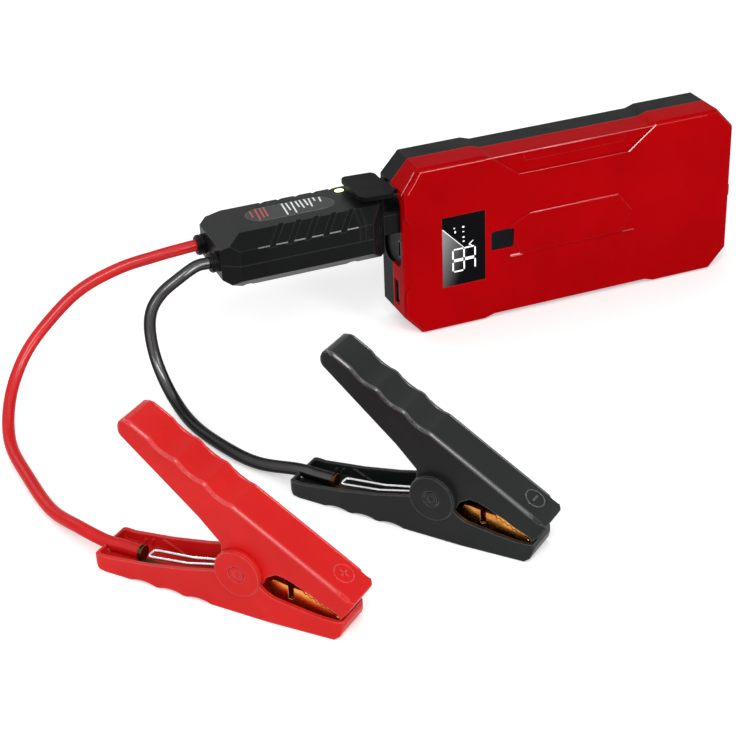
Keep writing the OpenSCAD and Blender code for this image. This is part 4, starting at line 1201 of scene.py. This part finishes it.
@dataclass
class Pack(SubAssembly):
    """The battery unit: two shells, window, button, ports, flap and torch."""

    face: float = -0.0148
    seam: Pair = (0.0004, 0.0010)
    glass: float = -0.0146
    mark_rise: Triple = (0.0, -0.00005, 0.0)
    digit_left: float = -0.0193
    digit_right: float = -0.0072
    digit_feet: tuple[tuple[str, float], ...] = (("9", 0.0311), ("8", 0.0376))
    digit_tall: float = 0.0057
    stroke: float = 0.0008
    stroke_gap: float = 0.00035
    # Middle x, middle z, width and height of the small marks; ends and width of the slanted strokes.
    small_marks: tuple[Bar, ...] = (
        (-0.0135, 0.0549, 0.0012, 0.0009), (-0.0135, 0.0523, 0.0011, 0.0005),
        (-0.0134, 0.0493, 0.0012, 0.0007), (-0.0134, 0.0470, 0.0011, 0.0007),
        (-0.0184, 0.0550, 0.0007, 0.0007), (-0.0179, 0.0529, 0.0008, 0.0013),
    )
    tick: tuple[tuple[Pair, Pair, float], ...] = (
        ((-0.0105, 0.0447), (-0.0082, 0.0466), 0.0006), ((-0.0105, 0.0447), (-0.0090, 0.0441), 0.0005),
    )
    # The diagonal line on the window is a painted highlight: light on the glass drawn as a glowing stroke.
    painted_highlight_line: tuple[tuple[Pair, Pair, float], ...] = (((-0.0248, 0.0555), (-0.0125, 0.0428), 0.0004),)
    lips: tuple[Lip, ...] = (
        Lip(((23.0, 55.0), (73.0, 55.0)), 0.7, 29.0, -15.08),
        Lip(((12.0, 33.5), (18.8, 33.5)), 1.1, 29.0, -14.95),
        Lip(((76.2, 33.5), (82.8, 33.5)), 0.5, 29.0, -15.15),
        Lip(((78.2, 77.2), (93.6, 89.0)), 0.6, 45.0, -14.82),
        Lip(((-1.0, 88.5), (30.0, 88.5)), 0.32, 29.0, -14.76),
        Lip(((30.0, 88.5), (57.0, 88.5)), 0.55, 29.0, -14.76),
        Lip(((57.0, 88.5), (123.0, 88.5)), 0.28, 29.0, -14.76),
        Lip(((-46.3, 78.4), (-41.7, 85.1), (-39.2, 89.2)), 0.3, 45.0, -14.76),
        Lip(((-42.9, 77.7), (-38.6, 83.6), (-36.1, 88.0)), 0.3, 45.0, -14.82),
        Lip(((-36.1, 88.3), (-1.5, 88.3)), 0.32, 29.0, -14.76),
        Lip(((17.2, 77.2), (77.8, 77.2)), 0.2, 29.0, -14.76),
    )

    def build(self) -> None:
        """Makes and dresses every piece of the pack."""
        self._shells()
        self.works.dress_nodes({
            "display_window": "display_black_glass", "display_module": "inner_grey_plastic",
            "button_switch": "inner_grey_plastic", "port_panel": "case_black_plastic",
            "jump_socket": "inner_grey_plastic", "jump_contacts": "contact_gold",
            "usb_c_socket": "socket_steel_painted_shade", "usb_a_socket": "socket_steel_painted_shade",
            "flap_root": "flap_rubber", "battery_cells": "foil_cell_wrap", "cell_tray": "inner_grey_plastic",
            "main_board": "board_green", "case_screws": "nickel_steel", "torch_lens": "torch_clear_lens",
            "torch_led": "label_white_ink_painted_glow",
        })
        self.works.add_lips("face_lips", self.lips, "pack", "face_red_lip_painted_highlight")
        self._display()

    def _shells(self) -> None:
        """Rounds the edges of the two halves, the flap and the button."""
        button_top = self.face + 0.0005
        for node, body, finish, rounding in (
            ("front_shell", "pack", "face_red_plastic",
             EdgeRound(0.00035, 2, 24, lambda edge: edge.middle.y < self.seam[0])),
            ("rear_shell", "pack", "case_black_plastic",
             EdgeRound(0.0005, 2, 24, lambda edge: edge.middle.y > self.seam[1])),
            ("port_flap", "port_flap", "flap_rubber", EdgeRound(0.0005, 3, 40)),
            ("power_button", "power_button", "button_black_plastic",
             EdgeRound(0.0004, 3, 60, lambda edge: edge.middle.y < button_top)),
        ):
            self.works.rounded_copy(node, body, finish, [rounding])

    def _display(self) -> None:
        """Adds the lit digits, the small marks and a painted highlight line on the window, which glows like
        the digits.
        """
        marks = bmesh.new()
        for digit, foot in self.digit_feet:
            self._digit(marks, digit, foot)
        rim = ((-1, -0.6), (-0.6, -1), (0.6, -1), (1, -0.6), (1, 0.6), (0.6, 1), (-0.6, 1), (-1, 0.6))
        for x, z, wide, tall in self.small_marks:
            self._on_glass(marks, [Vector((x + a * wide / 2, z + b * tall / 2)) for a, b in rim])
        # The second piece is a painted highlight that glows in the digits' white.
        line = bmesh.new()
        for name, work, strokes in (
            ("display_digits", marks, self.tick), ("window_painted_highlight", line, self.painted_highlight_line)
        ):
            for start, end, wide in strokes:
                first, last = Vector(start), Vector(end)
                across = (last - first).normalized().orthogonal() * wide / 2
                near_end = across * 0.7
                self._on_glass(work, [first - across, last - near_end, last + near_end, first + across])
            self.works.add(name, work, "pack", "digit_white")

    def _on_glass(self, work: Work, outline: Sequence[Vector]) -> None:
        """Adds a thin mark on the glass from its outline along the pack and up."""
        points = [Vector((spot.x, self.glass, spot.y)) for spot in outline]
        MeshWorks.plate(work, points, Vector(self.mark_rise))

    def _digit(self, work: Work, digit: str, foot: float) -> None:
        """Adds a digit that is read from the right, its top to the left.

        Args:
            work: The mesh to add to.
            digit: The digit, 8 or 9.
            foot: Its lower side.
        """
        ends = {
            "a": ((0, 0), (0, 1)), "g": ((0.5, 0), (0.5, 1)), "d": ((1, 0), (1, 1)), "b": ((0, 1), (0.5, 1)),
            "c": ((0.5, 1), (1, 1)), "f": ((0, 0), (0.5, 0)), "e": ((0.5, 0), (1, 0)),
        }
        wide = self.digit_right - self.digit_left
        for segment in {"9": "abcdfg", "8": "abcdefg"}[digit]:
            start, end = (
                Vector((self.digit_left + a * wide, foot + b * self.digit_tall)) for a, b in ends[segment]
            )
            along = (end - start).normalized()
            across, nose = along.orthogonal() * self.stroke / 2, along * self.stroke / 2
            start, end = start + along * self.stroke_gap, end - along * self.stroke_gap
            self._on_glass(work, [
                start, start + nose + across, end - nose + across, end, end - nose - across,
                start + nose - across,
            ])


# --------------------------------------------------------------------------- lead box


@dataclass
class LeadBox(SubAssembly):
    """The box on the leads with its plug, glands, label and lamp. Lips and bars are in millimetres."""

    split_z: float = 0.062
    shoulder_z: float = 69.80
    shoulder_y: float = -21.34
    grooves: tuple[float, ...] = (-69.8, -78.8, -87.8, -96.8, -105.8, -114.8)
    groove_pitch: float = 9.0
    groove_half: float = 1.6
    label_x: float = -0.0978
    label_y: float = 0.0012
    label_top: float = 0.0758
    label_long: float = 0.045
    label_wide: float = 0.0156
    rim_inset: float = 0.0006
    rim_radius: float = 0.00012
    bar_half: float = 0.00042
    bar_rise: float = 0.00004
    red_bars: tuple[Bar, ...] = (
        (-116.4, 7.0, -117.1, -0.5), (-113.3, 8.7, -114.8, -4.8), (-110.9, 8.6, -112.2, -2.9),
        (-109.0, 8.1, -110.2, -2.4),
    )
    white_bars: tuple[Bar, ...] = (
        (-99.6, 8.2, -100.8, -4.7), (-97.5, 8.0, -98.0, -0.6), (-94.8, 8.4, -96.3, -4.6),
        (-92.6, 8.0, -93.0, 0.9), (-90.5, 8.3, -91.1, -0.9), (-88.1, 8.4, -88.5, 1.0),
        (-85.7, 8.4, -87.1, -1.3), (-83.5, 8.2, -83.7, 4.2), (-80.6, 7.4, -81.4, 2.2),
    )

    def build(self) -> None:
        """Makes and dresses every piece of the lead box."""
        for node, radius in (("box_cover", 0.00045), ("box_base", 0.00045), ("plug_body", 0.00035)):
            soft = EdgeRound(radius, 2, 24, lambda edge: abs(edge.middle.z - self.split_z) > 0.0005)
            self.works.rounded_copy(node, "lead_set", "lead_box_plastic", [soft])
        self.works.dress_nodes({
            "label_panel": "label_film_grey", "status_led": "status_green_light", "box_board": "board_green",
            "box_relay": "inner_grey_plastic", "plug_sleeves": "contact_gold", "red_gland": "flap_rubber",
            "black_gland": "flap_rubber", "box_screws": "nickel_steel",
        })
        lips = [
            Lip(((groove - self.groove_pitch + self.groove_half, self.shoulder_z),
                 (groove - self.groove_half, self.shoulder_z)), 0.65, 29.0, self.shoulder_y)
            for groove in self.grooves
        ]
        self.works.add_lips("box_edge_lips", lips, "lead_set", "box_black_lip_painted_highlight")
        self._label_marks()

    def _label_marks(self) -> None:
        """Prints plain bars of state marks, given a faint painted glow, and a fine rim on the label."""
        up = Vector((0, 0, 1))
        for name, finish, bars in (
            ("label_red_bars", "label_red_ink_painted_glow", self.red_bars),
            ("label_white_bars", "label_white_ink_painted_glow", self.white_bars),
        ):
            work = bmesh.new()
            for x0, y0, x1, y1 in bars:
                first, last = (Vector((x * MM, y * MM, self.label_top)) for x, y in ((x0, y0), (x1, y1)))
                across = (last - first).cross(up).normalized() * self.bar_half
                corners = [first - across, first + across, last + across, last - across]
                MeshWorks.plate(work, corners, up * self.bar_rise)
            self.works.add(name, work, "lead_set", finish)
        half, end = self.label_wide / 2 - self.rim_inset, self.label_long / 2 - self.label_wide / 2
        x, y = self.label_x, self.label_y
        points = [
            Vector((x + side * end + half * math.cos(a), y + half * math.sin(a), self.label_top))
            for side, first in ((1, -90), (-1, 90))
            for a in (math.radians(first + 180 * k / 16) for k in range(17))
        ]
        rim = bmesh.new()
        MeshWorks.loop_bead(rim, points, self.rim_radius, 6)
        self.works.add("label_rim", rim, "lead_set", "label_rim_green")


# --------------------------------------------------------------------------- clamps


@dataclass
class Clamp(SubAssembly):
    """One sprung battery clamp: two shells, jaws, pin, spring, lug and rivets."""

    colour: str
    axes: LocalAxes
    plus: bool
    lower_half: float = 0.011
    upper_half: float = 0.009
    side_band: float = 0.0024
    crest_band: float = 0.0018
    crest_depth: float = 0.0036
    crest_fall: float = 0.584
    crest_span: Pair = (0.016, 0.1155)
    rear_x: float = 0.0164
    pivot: Pair = (0.067, 0.0197)
    ridge_start: Pair = (0.020, 0.0766)
    ridge_end: Pair = (0.1154, 0.0209)
    grips: Triple = (0.0174, 0.0319, 0.0464)
    grip_radius: float = 0.016
    grip_depth: float = 0.0014
    bead: float = 0.001
    bead_proud: Pair = (0.00012, 0.00018)
    bead_step: float = 0.001
    bead_count: int = 106
    bead_tip: Triple = (0.0012, 0.0002, 0.0007)
    bead_corner: tuple[Triple, ...] = (
        (0.0190, 0.0081, 0.0764), (0.0179, 0.0078, 0.0761), (0.0170, 0.0071, 0.0759),
        (0.0166, 0.0060, 0.0758), (0.0165, 0.0030, 0.0758), (0.0165, 0.0008, 0.0758),
    )
    mark_at: Pair = (0.1086, 0.0010)
    mark_ring: Pair = (0.0043, 0.0004)
    mark_bar: Pair = (0.0005, 0.0023)
    mark_rise: float = 0.0003
    mark_edge: float = 0.0001
    wire: float = 0.0014
    coil_radius: float = 0.0046
    coil_turns: float = 2.35
    coil_start: float = 35.0
    coil_steps: int = 76
    coil_outer: float = 0.0061
    coil_inner: float = 0.00115
    # Points of the spring's arms, seen from the pivot.
    upper_arm: tuple[Triple, ...] = ((-0.025, 0.0061, 0.0386), (-0.012, 0.0061, 0.0208))
    lower_arm: tuple[Triple, ...] = ((-0.010, 0.0016, -0.0054), (-0.030, 0.0022, -0.0103))
    bridge: Triple = (0.0175, 0.005, 0.0072)
    blend_half: float = 0.0052

    @property
    def upper_body(self) -> str:
        """Name of the body that the moving handle is."""
        return self.colour + "_upper_handle"

    def build(self) -> None:
        """Makes and dresses every piece of the clamp."""
        plastic = f"clamp_{self.colour}_plastic"
        jaw = [EdgeRound(0.00025, 2, 50, lambda edge: edge.length > 0.002)]
        upper = [
            EdgeRound(0.0005, 3, 30, self._on_crest),
            EdgeRound(0.0008, 3, 25, lambda edge: edge.middle.x < self.rear_x and abs(edge.along.y) > 0.7),
            EdgeRound(0.0003, 2, 40, lambda edge: abs(edge.middle.y) > self.upper_half - self.side_band),
        ]
        lower = [EdgeRound(0.0005, 2, 40, lambda edge: abs(edge.middle.y) > self.lower_half - self.side_band)]
        for part, body, finish, rounds in (
            ("upper_shell", self.upper_body, plastic, upper),
            ("lower_shell", "lead_set", plastic, lower),
            ("upper_jaw", self.upper_body, "jaw_copper", jaw),
            ("lower_jaw", "lead_set", "jaw_copper", jaw),
            ("pivot_pin", "lead_set", plastic, [EdgeRound(0.0004, 3, 60)]),
        ):
            self.works.rounded_copy(f"{self.colour}_{part}", body, finish, rounds, self.axes)
        self.works.dress_nodes({
            f"{self.colour}_{part}": finish
            for part, finish in (
                ("cable_lug", "lug_darkened_copper"), ("upper_rivet", "jaw_copper"), ("lower_rivet", "jaw_copper")
            )
        })
        self._spring()
        self._edge_bead()
        self._polarity_mark()

    def _on_crest(self, edge: EdgeSight) -> bool:
        """Whether an edge is one of the long top edges of the handle, with the finger grips.

        Args:
            edge: The edge in the clamp's axes.

        Returns:
            True along both top edges.
        """
        along, across, up = edge.middle
        line = self.ridge_start[1] - (along - self.ridge_start[0]) * self.crest_fall
        first, last = self.crest_span
        near_side = abs(across) > self.upper_half - self.crest_band
        return near_side and up > line - self.crest_depth and first < along < last

    def _spring_line(self) -> list[Vector]:
        """Middle line of the spring: arm, coil, bridge, coil, arm.

        Returns:
            Its points in the part's frame.
        """
        s, z = self.pivot
        bridge_s, bridge_w, bridge_z = self.bridge
        halves = []
        for side in (-1, 1):
            points = [(s + ahead, across, z + up) for ahead, across, up in self.upper_arm]
            for i in range(self.coil_steps + 1):
                share = i / self.coil_steps
                turn = math.radians(self.coil_start - 360 * self.coil_turns * share)
                across = self.coil_outer + (self.coil_inner - self.coil_outer) * share
                points.append(
                    (s + self.coil_radius * math.cos(turn), across, z + self.coil_radius * math.sin(turn))
                )
            points += [(s + ahead, across, z + up) for ahead, across, up in self.lower_arm]
            points += [
                (bridge_s + 0.002, bridge_w / 2, bridge_z + 0.0001),
                (bridge_s + 0.0006, bridge_w / 2 - 0.0002, bridge_z),
                (bridge_s, bridge_w / 2 - 0.0010, bridge_z),
            ]
            halves.append([self.axes.point(along, side * across, up) for along, across, up in points])
        return halves[0] + list(reversed(halves[1]))

    def _spring(self) -> None:
        """Makes the spring's wire."""
        work = bmesh.new()
        MeshWorks.tube(work, self._spring_line(), self.wire / 2, 10)
        name = self.colour + "_spring"
        piece = self.works.add(name + "_wire", work, None, "spring_bright_steel", (name,))
        s, z = self.pivot
        tuple(self.axes.point(s, 0.0, z - self.blend_half))
        tuple(self.axes.point(s, 0.0, z + self.blend_half))
        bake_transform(piece)

    def _on_ridge(self, forward: float, across: float, rise: float = 0.0) -> Vector:
        """A point at or above the handle's straight top line.

        Args:
            forward: How far along the line.
            across: How far to the side.
            rise: How far above the line.

        Returns:
            The point in the part's frame.
        """
        start, end = Vector(self.ridge_start), Vector(self.ridge_end)
        along = (end - start).normalized()
        flat = start + along * forward + Vector((-along.y, along.x)) * rise
        return self.axes.point(flat.x, across, flat.y)

    def _crest_point(self, forward: float, across: float, sink: float) -> Vector:
        """A point below the handle's top line, with its finger grips.

        Args:
            forward: How far along the line.
            across: How far to the side.
            sink: How far below the line.

        Returns:
            The point in the part's frame.
        """
        dip = 0.0
        for middle in self.grips:
            reach = forward - middle
            if abs(reach) < self.grip_radius:
                arc = math.sqrt(self.grip_radius**2 - reach**2)
                dip = min(dip, self.grip_radius - self.grip_depth - arc)
        return self._on_ridge(forward, across, dip - sink)

    def _edge_bead(self) -> None:
        """Adds the rounded bead that runs along both top edges of the handle."""
        side_proud, top_proud = self.bead_proud
        side, sink = self.upper_half - self.bead + side_proud, self.bead - top_proud
        halves = []
        for sign in (-1, 1):
            steps = range(1, self.bead_count + 1)
            raw = [self._crest_point(self.bead_step * i, sign * side, sink) for i in steps]
            smooth = [(a + b * 2 + c) / 4 for a, b, c in zip(raw, raw[1:], raw[2:])]
            further, inwards, lower = self.bead_tip
            tip_at = self.bead_step * self.bead_count + further
            tip = self._crest_point(tip_at, sign * (side - inwards), sink + lower)
            corner = [
                self.axes.point(along, sign * across, up - sink) for along, across, up in self.bead_corner
            ]
            halves.append([*reversed(corner), raw[0], *smooth, raw[-1], tip])
        work = bmesh.new()
        across = self.axes.point(0.0, 1.0, 0.0) - self.axes.point(0.0, 0.0, 0.0)
        MeshWorks.tube(work, [*reversed(halves[0]), *halves[1]], self.bead, 8, across)
        self._add_raised("handle_beads", work)

    def _polarity_mark(self) -> None:
        """Raises a ring with a plus or a minus near the tip of the ridge."""
        start, end = Vector(self.ridge_start), Vector(self.ridge_end)
        mark_x, side = self.mark_at
        forward = (mark_x - start.x) / (end.x - start.x) * (end - start).length
        ring_radius, ring_wire = self.mark_ring
        work = bmesh.new()
        MeshWorks.loop_bead(work, [
            self._on_ridge(forward + ring_radius * math.cos(a), side + ring_radius * math.sin(a))
            for a in (2 * math.pi * k / 40 for k in range(40))
        ], ring_wire)
        half, reach = self.mark_bar
        rise = self._on_ridge(forward, 0, self.mark_rise) - self._on_ridge(forward, 0)
        for wide, long in ((half, reach), (reach, half))[: 1 + self.plus]:
            corners = ((-1, -1), (1, -1), (1, 1), (-1, 1))
            outline = [self._on_ridge(forward + a * wide, side + b * long) for a, b in corners]
            MeshWorks.plate(work, outline, rise, self.mark_edge)
        self._add_raised("polarity_mark", work)

    def _add_raised(self, part: str, work: Work) -> None:
        """Adds raised detail of the handle as a piece, in the finish of its beads."""
        self.works.add(f"{self.colour}_{part}", work, self.upper_body, f"clamp_{self.colour}_bead")


# --------------------------------------------------------------------------- assembly

RED_AXES = LocalAxes((-0.2291, -0.1366), -50.5)
BLACK_AXES = LocalAxes((-0.1369, -0.1199), -52.0)
RED_ROUTE = (
    (-152.9, 10.3, 61.6), (-163.4, 10.4, 60.7), (-182, 11, 58), (-201.5, 11.5, 50.9), (-218.6, 8.1, 40.1),
    (-233.6, 1.6, 28.1), (-245.4, -12, 15), (-252, -35.9, 5.9), (-250.6, -66.9, 3.7), (-247.2, -94.9, 3.3),
    (-240.4, -117.8, 6.6),
)
BLACK_ROUTE = (
    (-150.4, -10.8, 61.7), (-159.2, -12.6, 58.4), (-168.3, -12.6, 52.5), (-174.1, -12.4, 44.3),
    (-176, -13.1, 33.1), (-175.3, -18.1, 19), (-172.7, -32, 6.9), (-169.5, -55, 3.2), (-161.8, -81.4, 3.3),
    (-153.2, -98.8, 3.6),
)


def main() -> None:
    """Builds the studio, the leads, the pack, the lead box and both clamps."""
    logging.basicConfig(level=logging.INFO, format="%(name)s: %(message)s")
    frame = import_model()
    bpy.context.scene.view_settings.view_transform = "Standard"
    works = MeshWorks(frame, Palette())
    studio = Studio()
    studio.build_camera()
    leads = (
        Lead(works, "red", 0.0105, 0.272, RED_AXES, RED_ROUTE),
        Lead(works, "black", -0.0105, 0.196, BLACK_AXES, BLACK_ROUTE),
    )
    for lead in leads:
        lead.build()
    Pack(works).build()
    LeadBox(works).build()
    Clamp(works, "red", RED_AXES, plus=True).build()
    Clamp(works, "black", BLACK_AXES, plus=False).build()
    for lead in leads:
        lead.declare()
    studio.build_floor()
    studio.build_light()


if __name__ == "__main__":
    main()
